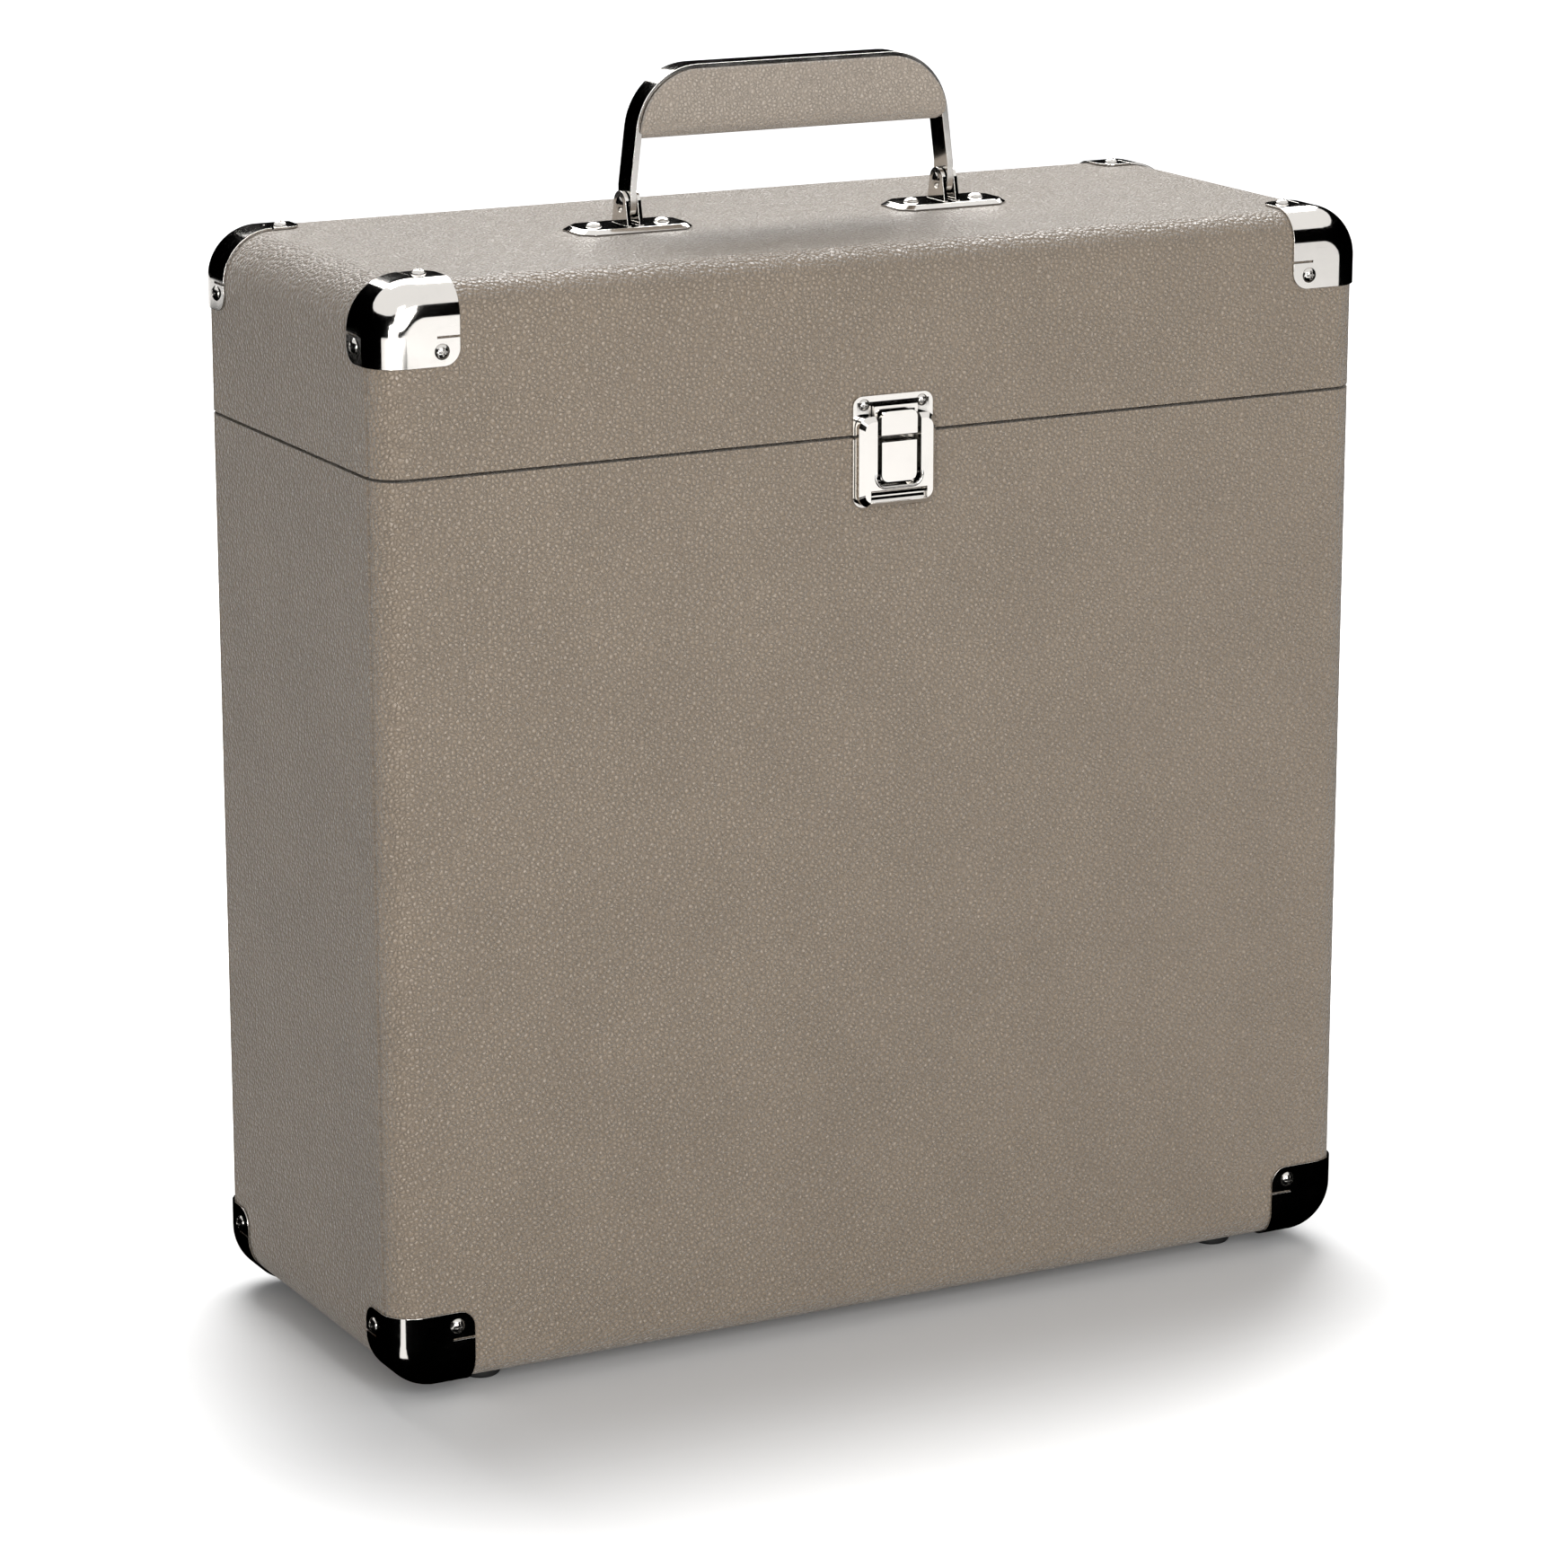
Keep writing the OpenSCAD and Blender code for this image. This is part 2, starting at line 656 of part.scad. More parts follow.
module latch_draw_ring() {
    half_window = window_w / 2;
    face_in = latch_proud - latch_t;
    arm_bottom = window_bottom_z;
    bar_z = catch_top_z + bar_clear;
    bar_front = ring_back + bar_d;
    color(nickel) difference() {
        union() {
            difference() {
                ring_block(0, ring_back, latch_proud);
                intersection() {
                    ring_block(latch_t, 0, face_in);
                    above(arm_bottom);
                }
            }
            // inner rim of the window
            sheet_between(ring_back, face_in + 0.1) intersection() {
                round_foot_plate(
                    window_w + 2 * ring_rim_t, window_bottom_z - ring_rim_t, ring_top_z - 1,
                    window_corner_r + ring_rim_t
                );
                translate([-latch_w, ring_bottom_z]) square([2 * latch_w, latch_base_h * 2]);
            }
            // necks that lead up past the catch to the bar
            for (side = [0, 1]) mirror([side, 0, 0]) sheet_between(ring_back, bar_front) {
                translate([bar_half - 1, bar_z - 6]) square([1, 6 + bar_h]);
                translate([bar_half - 1, bar_z - 6]) square([half_window - bar_half + 1.4, 3.4]);
            }
        }
        difference() {
            sheet_between(-1, latch_proud + 1)
                round_foot_plate(window_w, window_bottom_z, ring_top_z + 5, window_corner_r);
            for (side = [0, 1]) mirror([side, 0, 0]) sheet_between(ring_back, bar_front)
                translate([bar_half - 1, bar_z - 6]) square([window_w, 6 + bar_h]);
        }
        // the hollow behind the bill, where a finger pulls
        translate([0, front_y - latch_proud - bill_groove_r * 0.5, bill_groove_z])
            rotate([0, 90, 0]) cylinder(r = bill_groove_r, h = ring_w - 7, center = true);
        ring_bore(ring_pin_r + pin_fit);
    }
    color(nickel) sheet_between(ring_back, bar_front)
        translate([-bar_half, bar_z]) square([2 * bar_half, bar_h]);
}

module latch_ring_pin() {
    color(nickel_dark) translate([0, front_y - ring_pivot_out, ring_pivot_z]) rotate([0, 90, 0])
        cylinder(r = ring_pin_r, h = ring_pin_len, center = true);
}

module on_catch_screws(lift) {
    for (side = [-1, 1])
        translate([side * catch_screw_x, front_y - lift, catch_screw_z])
            rotate([90, 0, 0]) children();
}

// Front view of the catch: a block with rounded upper corners
module catch_plan(w, top_z, r) {
    translate([0, lid_rim + top_z]) mirror([0, 1]) round_foot_plate(w, lid_rim, top_z, r);
}

module latch_catch_plate() {
    face_in = latch_proud - latch_t;
    color(nickel) difference() {
        union() {
            sheet_between(skin_gap, latch_t)
                catch_plan(latch_w, lid_rim + catch_h, catch_corner_r);
            sheet_between(skin_gap, latch_proud) catch_plan(catch_w, catch_top_z, catch_round_r);
        }
        sheet_between(latch_t, face_in)
            catch_plan(
                catch_w - 2 * latch_t, catch_top_z - latch_t - 0.5, catch_round_r - latch_t
            );
        sheet_between(latch_t, face_in) translate([0, lid_rim])
            square([catch_w - 2 * latch_t, latch_t], center = true);
        // the seat of the bar slopes down towards the lid
        translate([0, front_y - latch_proud, catch_top_z]) rotate([-catch_slope, 0, 0])
            translate([-catch_w, 0, 0]) cube([2 * catch_w, latch_proud - latch_t, 3]);
        on_catch_screws(latch_t) translate([0, 0, -2]) cylinder(r = latch_shank_r + skin_gap, h = 4);
    }
}

module latch_catch_screws() {
    color(nickel_dark) on_catch_screws(latch_t + skin_gap)
        cross_screw(catch_head_r, catch_head_h, latch_shank_r, screw_shank_len);
}

module latch_catch_screw_holes() {
    on_catch_screws(latch_t + skin_gap) translate([0, 0, -screw_shank_len - skin_gap])
        cylinder(r = latch_shank_r + skin_gap, h = board_t);
}

// ---------------------------------------------------------------- handle

module at_leg(side) {
    translate([side * leg_mid_x, 0, 0]) children();
}

// Points of an arc in the front view
function arc_points(centre, r, from, to, steps) = [
    for (i = [0 : steps])
        let (a = from + (to - from) * i / steps)
        [centre[0] + r * cos(a), centre[1] + r * sin(a)]
];

// Right half of the strap's outline at a distance inside its outer face, from the foot to the top
function strap_half(inside) = concat(
    [[leg_x - inside, leg_foot_z], [leg_x - inside, leg_lean_z - inside * tan(strap_lean / 2)]],
    arc_points([strap_bend_x, strap_bend_z], strap_bend_r - inside, strap_lean, 90, 14)
);

function mirrored(points) = [
    for (i = [len(points) - 1 : -1 : 0]) [-points[i][0], points[i][1]]
];

// Outline of everything under the line that lies inside the strap's outer face
module strap_plan(inside) {
    polygon(concat(strap_half(inside), mirrored(strap_half(inside))));
}

module pivot_bore(r) {
    for (side = [LEFT, RIGHT]) at_leg(side) translate([0, 0, pivot_z]) rotate([0, 90, 0])
        cylinder(r = r, h = 20, center = true);
}

module handle_strap() {
    foot_r = strap_w / 2;
    color(nickel) difference() {
        intersection() {
            rotate([90, 0, 0]) linear_extrude(strap_w, center = true) difference() {
                strap_plan(0);
                strap_plan(strap_t);
                translate([-leg_x + strap_t, leg_foot_z - 1])
                    square([2 * (leg_x - strap_t), 2]);
            }
            union() {
                above(pivot_z);
                translate([0, 0, pivot_z]) rotate([0, 90, 0])
                    cylinder(r = foot_r, h = 2 * handle_w, center = true);
            }
        }
        pivot_bore(pivot_r + pin_fit);
    }
}

// Side view of the grip: a rounded pad under the strap
module grip_section(inset) {
    r = grip_d / 2 - inset;
    shoulder = strap_w / 2 + grip_shoulder - inset;
    low = grip_bottom_z + inset;
    top = handle_top - strap_t * 0.5 - inset;
    translate([0, low + r]) circle(r);
    polygon([[-r, low + r], [r, low + r], [shoulder, top], [-shoulder, top]]);
}

module grip_form(inset) {
    end_in = strap_t + skin_gap + inset;
    intersection() {
        rotate([90, 0, 0]) linear_extrude(2 * grip_d, center = true) strap_plan(end_in);
        translate([-handle_w, 0, 0]) rotate([90, 0, 90])
            linear_extrude(2 * handle_w) grip_section(inset);
    }
}

module handle_grip_core() {
    color(foam_grey) grip_form(grip_cover_t + grip_foam_gap);
}

// The padding over the strap's front and back edges, out to the middle of its thickness
module grip_cheeks() {
    slot = strap_w + 2 * skin_gap;
    difference() {
        intersection() {
            rotate([90, 0, 0]) linear_extrude(2 * grip_d, center = true) strap_plan(strap_t / 2);
            translate([-handle_w, 0, 0]) rotate([90, 0, 90])
                linear_extrude(2 * handle_w) grip_section(0);
        }
        translate([-handle_w, -slot / 2, 0]) cube([2 * handle_w, slot, handle_top]);
    }
}

module handle_grip_cover() {
    color(leatherette_light) difference() {
        union() {
            grip_form(0);
            grip_cheeks();
        }
        grip_form(grip_cover_t);
    }
}

// Bracket plate with cut corners, from above
module bracket_plan(w, d, cut) {
    polygon([
        [-w / 2 + cut, -d / 2], [w / 2 - cut, -d / 2], [w / 2, -d / 2 + cut],
        [w / 2, d / 2 - cut], [w / 2 - cut, d / 2], [-w / 2 + cut, d / 2],
        [-w / 2, d / 2 - cut], [-w / 2, -d / 2 + cut]
    ]);
}

module on_bracket_rivets(side) {
    at_leg(side) for (end = [-1, 1])
        translate([end * bracket_rivet_x, 0, case_top + bracket_t]) children();
}

module handle_bracket(side) {
    ear_in = strap_t / 2 + side_gap;
    color(nickel) difference() {
        union() {
            at_leg(side) translate([0, 0, case_top + skin_gap]) hull() {
                linear_extrude(bracket_edge_t) bracket_plan(bracket_w, bracket_d, bracket_chamfer);
                linear_extrude(bracket_t - skin_gap) bracket_plan(
                    bracket_w - bracket_bevel, bracket_d - bracket_bevel, bracket_chamfer
                );
            }
            at_leg(side) cheeks(ear_in, ear_in + bracket_ear_t) {
                translate([0, pivot_z]) circle(bracket_ear_r);
                polygon([
                    [-bracket_ear_base / 2, case_top + bracket_t / 2],
                    [bracket_ear_base / 2, case_top + bracket_t / 2],
                    [bracket_ear_r, pivot_z], [-bracket_ear_r, pivot_z]
                ]);
            }
        }
        pivot_bore(pivot_r + pin_fit);
        on_bracket_rivets(side) translate([0, 0, -4]) cylinder(r = bracket_shank_r + skin_gap, h = 8);
    }
}

module handle_bracket_rivets() {
    color(nickel_dark) for (side = [LEFT, RIGHT]) on_bracket_rivets(side)
        translate([0, 0, skin_gap])
            rivet(
                bracket_rivet_r, bracket_rivet_h, bracket_shank_r,
                bracket_t + screw_shank_len
            );
}

module handle_bracket_rivet_holes() {
    for (side = [LEFT, RIGHT]) on_bracket_rivets(side)
        translate([0, 0, -bracket_t - screw_shank_len]) cylinder(r = bracket_shank_r + skin_gap, h = 10);
}

module handle_pin(side) {
    half = strap_t / 2 + side_gap + bracket_ear_t;
    color(nickel_dark) at_leg(side) translate([0, 0, pivot_z]) rotate([0, 90, 0]) {
        cylinder(r = pivot_r, h = 2 * half + 0.4, center = true);
        for (end = [0, 180]) rotate([end, 0, 0]) translate([0, 0, half + skin_gap])
            domed_head(pivot_r + pivot_head_over, pivot_head_h);
    }
}

// ---------------------------------------------------------------- body and lid

module body_holes() {
    corner_screw_holes(false);
    foot_screw_holes();
    hinge_rivet_holes(-1);
    latch_base_rivet_holes();
}

module lid_holes() {
    corner_screw_holes(true);
    hinge_rivet_holes(1);
    latch_catch_screw_holes();
    handle_bracket_rivet_holes();
}

module body_board() {
    color(board_brown) difference() {
        intersection() {
            case_form(board_in);
            below(body_rim - board_in);
        }
        case_form(hollow_in);
        body_holes();
    }
}

module body_covering() {
    color(leatherette) difference() {
        intersection() {
            case_form(0);
            below(body_rim);
        }
        intersection() {
            case_form(cover_t);
            below(body_rim - cover_t);
        }
        case_form(hollow_in);
        body_holes();
    }
}

module body_lining() {
    color(lining_grey) difference() {
        intersection() {
            case_form(lining_in);
            below(body_rim);
        }
        case_form(room_in);
    }
}

module lid_board() {
    color(board_brown) difference() {
        intersection() {
            case_form(board_in);
            above(lid_rim + board_in);
        }
        case_form(hollow_in);
        lid_holes();
    }
}

module lid_covering() {
    color(leatherette) difference() {
        intersection() {
            case_form(0);
            above(lid_rim);
        }
        intersection() {
            case_form(cover_t);
            above(lid_rim + cover_t);
        }
        case_form(hollow_in);
        lid_holes();
    }
}

module lid_lining() {
    color(lining_grey) difference() {
        intersection() {
            case_form(lining_in);
            above(lid_rim);
        }
        case_form(room_in);
    }
}

body_board();
body_covering();
body_lining();
corner_protector(LEFT, FRONT, false);  // body_corner_front_left
corner_protector(RIGHT, FRONT, false);  // body_corner_front_right
corner_protector(LEFT, BACK, false);  // body_corner_back_left
corner_protector(RIGHT, BACK, false);  // body_corner_back_right
corner_screws(false);  // body_corner_screws
foot(LEFT, FRONT);  // foot_front_left
foot(RIGHT, FRONT);  // foot_front_right
foot(LEFT, BACK);  // foot_back_left
foot(RIGHT, BACK);  // foot_back_right
foot_screws();
hinge_leaf(LEFT, -1);  // hinge_left_body_leaf
hinge_leaf(RIGHT, -1);  // hinge_right_body_leaf
hinge_pin(LEFT);  // hinge_left_pin
hinge_pin(RIGHT);  // hinge_right_pin
hinge_rivets(-1);  // hinge_body_rivets
latch_base_plate();
latch_base_rivets();
latch_link_pin();
lid_board();
lid_covering();
lid_lining();
corner_protector(LEFT, FRONT, true);  // lid_corner_front_left
corner_protector(RIGHT, FRONT, true);  // lid_corner_front_right
corner_protector(LEFT, BACK, true);  // lid_corner_back_left
corner_protector(RIGHT, BACK, true);  // lid_corner_back_right
corner_screws(true);  // lid_corner_screws
hinge_leaf(LEFT, 1);  // hinge_left_lid_leaf
hinge_leaf(RIGHT, 1);  // hinge_right_lid_leaf
hinge_rivets(1);  // hinge_lid_rivets
latch_catch_plate();
latch_catch_screws();
handle_bracket(LEFT);  // handle_bracket_left
handle_bracket(RIGHT);  // handle_bracket_right
handle_bracket_rivets();
handle_pin(LEFT);  // handle_pin_left
handle_pin(RIGHT);  // handle_pin_right
handle_strap();
handle_grip_core();
handle_grip_cover();
latch_link();
latch_draw_ring();
latch_ring_pin();
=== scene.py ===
"""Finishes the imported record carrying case: leatherette, nickel fittings, a padded grip, a studio."""
import json
import math

import bmesh
import bpy
from bpy.props import FloatProperty, FloatVectorProperty, IntProperty, PointerProperty
from mathutils import Matrix, Vector

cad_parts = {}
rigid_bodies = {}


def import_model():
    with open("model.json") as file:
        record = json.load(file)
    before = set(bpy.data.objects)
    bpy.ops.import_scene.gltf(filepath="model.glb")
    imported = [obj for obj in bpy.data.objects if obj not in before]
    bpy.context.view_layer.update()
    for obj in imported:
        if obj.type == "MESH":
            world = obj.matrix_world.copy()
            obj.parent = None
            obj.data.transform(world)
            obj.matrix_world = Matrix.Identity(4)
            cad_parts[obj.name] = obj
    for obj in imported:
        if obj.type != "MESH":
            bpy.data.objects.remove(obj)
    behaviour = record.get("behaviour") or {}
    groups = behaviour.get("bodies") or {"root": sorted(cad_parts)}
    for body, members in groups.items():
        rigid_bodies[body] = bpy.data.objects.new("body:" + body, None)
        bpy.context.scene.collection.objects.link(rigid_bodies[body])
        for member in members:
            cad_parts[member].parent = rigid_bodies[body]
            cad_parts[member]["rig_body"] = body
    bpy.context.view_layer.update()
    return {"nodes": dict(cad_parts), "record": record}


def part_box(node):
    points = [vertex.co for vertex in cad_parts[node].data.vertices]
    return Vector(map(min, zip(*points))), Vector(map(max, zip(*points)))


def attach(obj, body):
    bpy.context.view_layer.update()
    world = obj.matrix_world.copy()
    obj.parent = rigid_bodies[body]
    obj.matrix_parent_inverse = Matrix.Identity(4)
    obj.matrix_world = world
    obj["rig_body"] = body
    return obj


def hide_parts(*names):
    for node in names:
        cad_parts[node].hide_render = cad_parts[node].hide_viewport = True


bl_info = {
    "name": "Record Case Finish",
    "version": (1, 0, 0),
    "blender": (4, 5, 0),
    "location": "3D View > Sidebar > Record Case",
    "description": "Leatherette, nickel fittings, a padded grip and a studio for a record case",
    "category": "Object",
}

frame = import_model()

MM = 0.001
SLOT_OF = {part["node"]: part["material_slot"] for part in frame["record"]["subparts"]}
CASE_LOW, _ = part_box("body_covering")
_, CASE_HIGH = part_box("lid_covering")

# How far a corner protector covers the gap of the wrapped leatherette
COVERED_BY_CORNER = 22 * MM

# The window of the draw ring: half its width, the height of its foot and its corner radius
WINDOW_HALF = 7.8 * MM
WINDOW_FOOT = 280.3 * MM
WINDOW_CORNER = 3 * MM

# The lip at the foot of that window: how deep it sits, and how far it runs up each side
LIP_RADIUS = 0.5 * MM
LIP_SUNK = 0.12 * MM
LIP_RISE = (1.6 * MM, 0.8 * MM)
LIP_STEPS = 8
LIP_SIDES = 10

# Radii of the softened edges
COVERING_EDGE = 0.3 * MM
FASTENER_EDGE = 0.06 * MM
HINGE_EDGE = 0.1 * MM
FOOT_EDGE = 0.15 * MM

# Angles between faces that are one flat face, a sharp corner or a sharp edge in the shading, and
# the distance below which vertices are one
FLAT_ANGLE = math.radians(0.5)
SHARP_CORNER = math.radians(32)
SHADING_ANGLE = math.radians(38)
JOIN_DISTANCE = 0.002 * MM

# Roughness of the leatherette on its pebbles and in its creases
GRAIN_ROUGHNESS = (0.33, 0.58)

# How near metal has to be to other metal for its painted shade, and the depth of the plating's ripple
PAINTED_SHADE_REACH = 2.5 * MM
RIPPLE_DEPTH = 0.02 * MM

FASTENERS = [node for node in frame["nodes"] if SLOT_OF[node] == "fastener_nickel"]
CORNERS = [node for node in frame["nodes"] if "_corner_" in node and not node.endswith("screws")]
HINGES = [node for node in frame["nodes"] if node.startswith("hinge_") and node.endswith("leaf")]
LATCH = ["latch_base_plate", "latch_catch_plate", "latch_link", "latch_draw_ring"]
HANDLE = ["handle_strap", "handle_bracket_left", "handle_bracket_right"]
FEET = [node for node in frame["nodes"] if node.startswith("foot_") and node != "foot_screws"]

# The camera's place, its angles, its lens and its sensor in millimetres
CAMERA_PLACE = Vector((-0.8074, -1.5346, 0.6162))
CAMERA_YAW = math.radians(27.71)
CAMERA_PITCH = math.radians(14.55)
CAMERA_LENS = 124.32
SENSOR = 36.0

# Softboxes: place, width and height in metres
OVERHEAD_BOX = (Vector((0.5, 1.15, 1.6)), 1.7, 1.2)
FRONT_BOX = (Vector((-0.1, -2.2, 0.95)), 0.8, 1.4)
SIDE_BOX = (Vector((-1.4, -1.96, 0.42)), 0.5, 0.84)

# A black ring of wall round the case, which only reflections show
ROUND_FLAG_RADIUS = 3.0
ROUND_FLAG_HEIGHT = 2.1
ROUND_FLAG_SIDES = 64

# Strength of the glow on the front of each kind of card
CARD_GLOW = {"Black flag": 0.0, "White card": 1.1, "Bright card": 2.0}

# Cards that only reflections show: name, kind, place, size, tilt and turn in degrees, taper
CARDS = [
    ("Left flag", "Black flag", (-0.95, 0.75, 0.43), (2.4, 0.86), 90, 90, 1.0),
    ("Right flag", "Black flag", (0.9, 0.25, 0.43), (2.5, 0.86), 90, -90, 1.0),
    ("Low flag", "Black flag", (-0.02, 0.64, 0.0005), (1.85, 2.52), 0, 0, 1.0),
    ("Front flag", "Black flag", (0.16, -1.5, 0.0005), (0.5, 0.8), 0, 0, 1.0),
    ("White strip", "White card", (-0.3775, -0.237, 0.001), (0.5, 0.1), 0, 40, 0.12),
    ("Edge card", "Bright card", (-0.38, -0.65, 0.5), (0.22, 1.0), 90, 160, 1.0),
]

# The floor: half its width, how far inside the case's left and right the painted shadow is measured
# from, the distances where the glow starts and is full (nearer, the floor is darker: painted shadow),
# its strength, and its share in reflections
FLOOR_HALF = 12.0
PAINTED_SHADE_UNDER = 20 * MM
GLOW_FROM = 0.02
GLOW_FULL = 0.2
FLOOR_GLOW = 0.9
GLOW_IN_REFLECTIONS = 0.5


class CaseSettings(bpy.types.PropertyGroup):
    """Sizes and colours of the finish."""

    leather_color: FloatVectorProperty(
        name="Leatherette", description="Colour of the covering",
        subtype="COLOR", size=3, min=0, max=1, default=(0.224, 0.177, 0.130))
    grip_color: FloatVectorProperty(
        name="Grip", description="Colour of the leatherette on the grip",
        subtype="COLOR", size=3, min=0, max=1, default=(0.350, 0.296, 0.243))
    grain_size: FloatProperty(
        name="Grain Size", description="Width of one pebble of the grain",
        unit="LENGTH", min=0.0004, max=0.004, default=0.0015)
    grain_depth: FloatProperty(
        name="Grain Depth", description="Depth of the creases in the grain",
        unit="LENGTH", min=0, max=0.002, default=0.0007)
    wrap_line: FloatProperty(
        name="Wrap Line", description="Distance of the wrapped edge from the front and the back",
        unit="LENGTH", min=0.004, max=0.03, default=0.0088)
    wrap_width: FloatProperty(
        name="Wrap Gap", description="Width of the gap at the end of the wrapped leatherette",
        unit="LENGTH", min=0.0001, max=0.002, default=0.0014)
    wrap_depth: FloatProperty(
        name="Wrap Depth", description="Depth of that gap",
        unit="LENGTH", min=0.0001, max=0.0006, default=0.0005)
    nickel_color: FloatVectorProperty(
        name="Nickel", description="Colour of the plating",
        subtype="COLOR", size=3, min=0, max=1, default=(0.78, 0.75, 0.71))
    nickel_rough: FloatProperty(
        name="Nickel Roughness", description="Roughness of the polished plating",
        subtype="FACTOR", min=0, max=1, default=0.07)
    edge_radius: FloatProperty(
        name="Metal Edges", description="Radius of the edges of the pressed metal",
        unit="LENGTH", min=0, max=0.0005, default=0.00014)
    rubber_color: FloatVectorProperty(
        name="Rubber", description="Colour of the feet",
        subtype="COLOR", size=3, min=0, max=1, default=(0.018, 0.018, 0.018))
    lining_color: FloatVectorProperty(
        name="Lining", description="Colour of the flock inside",
        subtype="COLOR", size=3, min=0, max=1, default=(0.020, 0.020, 0.022))
    board_color: FloatVectorProperty(
        name="Board", description="Colour of the raw board",
        subtype="COLOR", size=3, min=0, max=1, default=(0.30, 0.19, 0.10))
    grip_voxel: FloatProperty(
        name="Grip Detail", description="Size of the cells that the padded grip is shaped from",
        unit="LENGTH", min=0.0003, max=0.002, default=0.0006)
    grip_rounds: IntProperty(
        name="Grip Softness", description="How often the padding is smoothed",
        min=0, max=40, default=10)
    key_power: FloatProperty(
        name="Overhead Light", description="Power of the softbox over the case",
        unit="POWER", min=0, max=500, default=54)
    fill_power: FloatProperty(
        name="Front Light", description="Power of the softbox in front of the case",
        unit="POWER", min=0, max=500, default=25)
    side_power: FloatProperty(
        name="Side Light", description="Power of the softbox at the front left edge",
        unit="POWER", min=0, max=500, default=25)
    ambient: FloatProperty(
        name="Room Light", description="Strength of the light from all round",
        subtype="FACTOR", min=0, max=2, default=0.36)


def settings():
    """The sizes and colours that the panel shows."""
    return bpy.context.scene.record_case


# ---------------------------------------------------------------- node trees

class Tree:
    """Adds nodes to a node tree and links them by the names of their sockets."""

    def __init__(self, tree):
        self.tree = tree

    def add(self, kind, inputs=None, **properties):
        node = self.tree.nodes.new(kind)
        for name, value in properties.items():
            setattr(node, name, value)
        for name, value in (inputs or {}).items():
            self.feed(node.inputs[name], value)
        return node

    def feed(self, socket, value):
        if isinstance(value, bpy.types.NodeSocket):
            self.tree.links.new(value, socket)
        else:
            socket.default_value = value

    def math(self, operation, a, b):
        node = self.add("ShaderNodeMath", operation=operation)
        self.feed(node.inputs[0], a)
        self.feed(node.inputs[1], b)
        return node.outputs[0]

    def vector(self, operation, a, b=(0, 0, 0)):
        node = self.add("ShaderNodeVectorMath", {0: a, 1: b}, operation=operation)
        return node.outputs["Value" if operation in ("LENGTH", "DOT_PRODUCT") else "Vector"]

    def scaled(self, vector, scale):
        node = self.add("ShaderNodeVectorMath", {0: vector, "Scale": scale}, operation="SCALE")
        return node.outputs["Vector"]

    def remap(self, value, low, high, to_low, to_high):
        node = self.add(
            "ShaderNodeMapRange",
            {"Value": value, "From Min": low, "From Max": high, "To Min": to_low, "To Max": to_high},
            interpolation_type="SMOOTHSTEP")
        return node.outputs["Result"]

    def mix(self, factor, a, b):
        node = self.add("ShaderNodeMix", data_type="RGBA")
        self.feed(node.inputs["Factor"], factor)
        self.feed(node.inputs[6], a)
        self.feed(node.inputs[7], b)
        return node.outputs[2]

    def noise(self, vector, scale, detail=2.0, rough=0.5):
        node = self.add(
            "ShaderNodeTexNoise",
            {"Vector": vector, "Scale": scale, "Detail": detail, "Roughness": rough})
        return node.outputs["Fac"]


def shader_group(name, inputs, outputs):
    """A new node group with float inputs {name: default} and float outputs."""
    group = bpy.data.node_groups.new(name, "ShaderNodeTree")
    for label, default in inputs.items():
        socket = group.interface.new_socket(label, in_out="INPUT", socket_type="NodeSocketFloat")
        socket.default_value = default
    for label in outputs:
        group.interface.new_socket(label, in_out="OUTPUT", socket_type="NodeSocketFloat")
    tree = Tree(group)
    return group, tree, tree.add("NodeGroupInput"), tree.add("NodeGroupOutput")


def object_place(tree, scale):
    """Object coordinates times a scale, which is one over the size of a cell."""
    return tree.scaled(tree.add("ShaderNodeTexCoord").outputs["Object"], scale)


def pebble_grain():
    """Rounded pebbles with creases between them, as on embossed leatherette."""
    name = "Pebble Grain"
    if name in bpy.data.node_groups:
        return bpy.data.node_groups[name]
    group, tree, given, result = shader_group(
        name, {"Size": 0.0012, "Warp": 0.35}, ["Height", "Crease", "Mottle"])
    place = object_place(tree, tree.math("DIVIDE", 1.0, given.outputs["Size"]))
    warp = tree.add("ShaderNodeTexNoise", {"Vector": place, "Scale": 0.55, "Detail": 2.0})
    shift = tree.vector("SUBTRACT", warp.outputs["Color"], (0.5, 0.5, 0.5))
    push = tree.scaled(shift, tree.math("MULTIPLY", given.outputs["Warp"], 2.0))
    bent = tree.vector("ADD", place, push)
    edge = tree.add(
        "ShaderNodeTexVoronoi", {"Vector": bent, "Scale": 1.0, "Randomness": 0.95},
        feature="DISTANCE_TO_EDGE")
    cell = tree.add(
        "ShaderNodeTexVoronoi",
        {"Vector": bent, "Scale": 1.0, "Randomness": 0.95, "Smoothness": 0.4},
        feature="SMOOTH_F1")
    crease = tree.remap(edge.outputs["Distance"], 0.0, 0.16, 1.0, 0.0)
    dome = tree.remap(cell.outputs["Distance"], 0.0, 0.75, 1.0, 0.0)
    fine = tree.noise(place, 3.2, 2.0)
    height = tree.math("MULTIPLY", dome, 0.55)
    height = tree.math("ADD", height, tree.math("MULTIPLY", crease, -0.35))
    height = tree.math("ADD", height, tree.math("MULTIPLY", fine, 0.16))
    tree.feed(result.inputs["Height"], height)
    tree.feed(result.inputs["Crease"], crease)
    tree.feed(result.inputs["Mottle"], tree.noise(place, 0.045, 3.0))
    return group


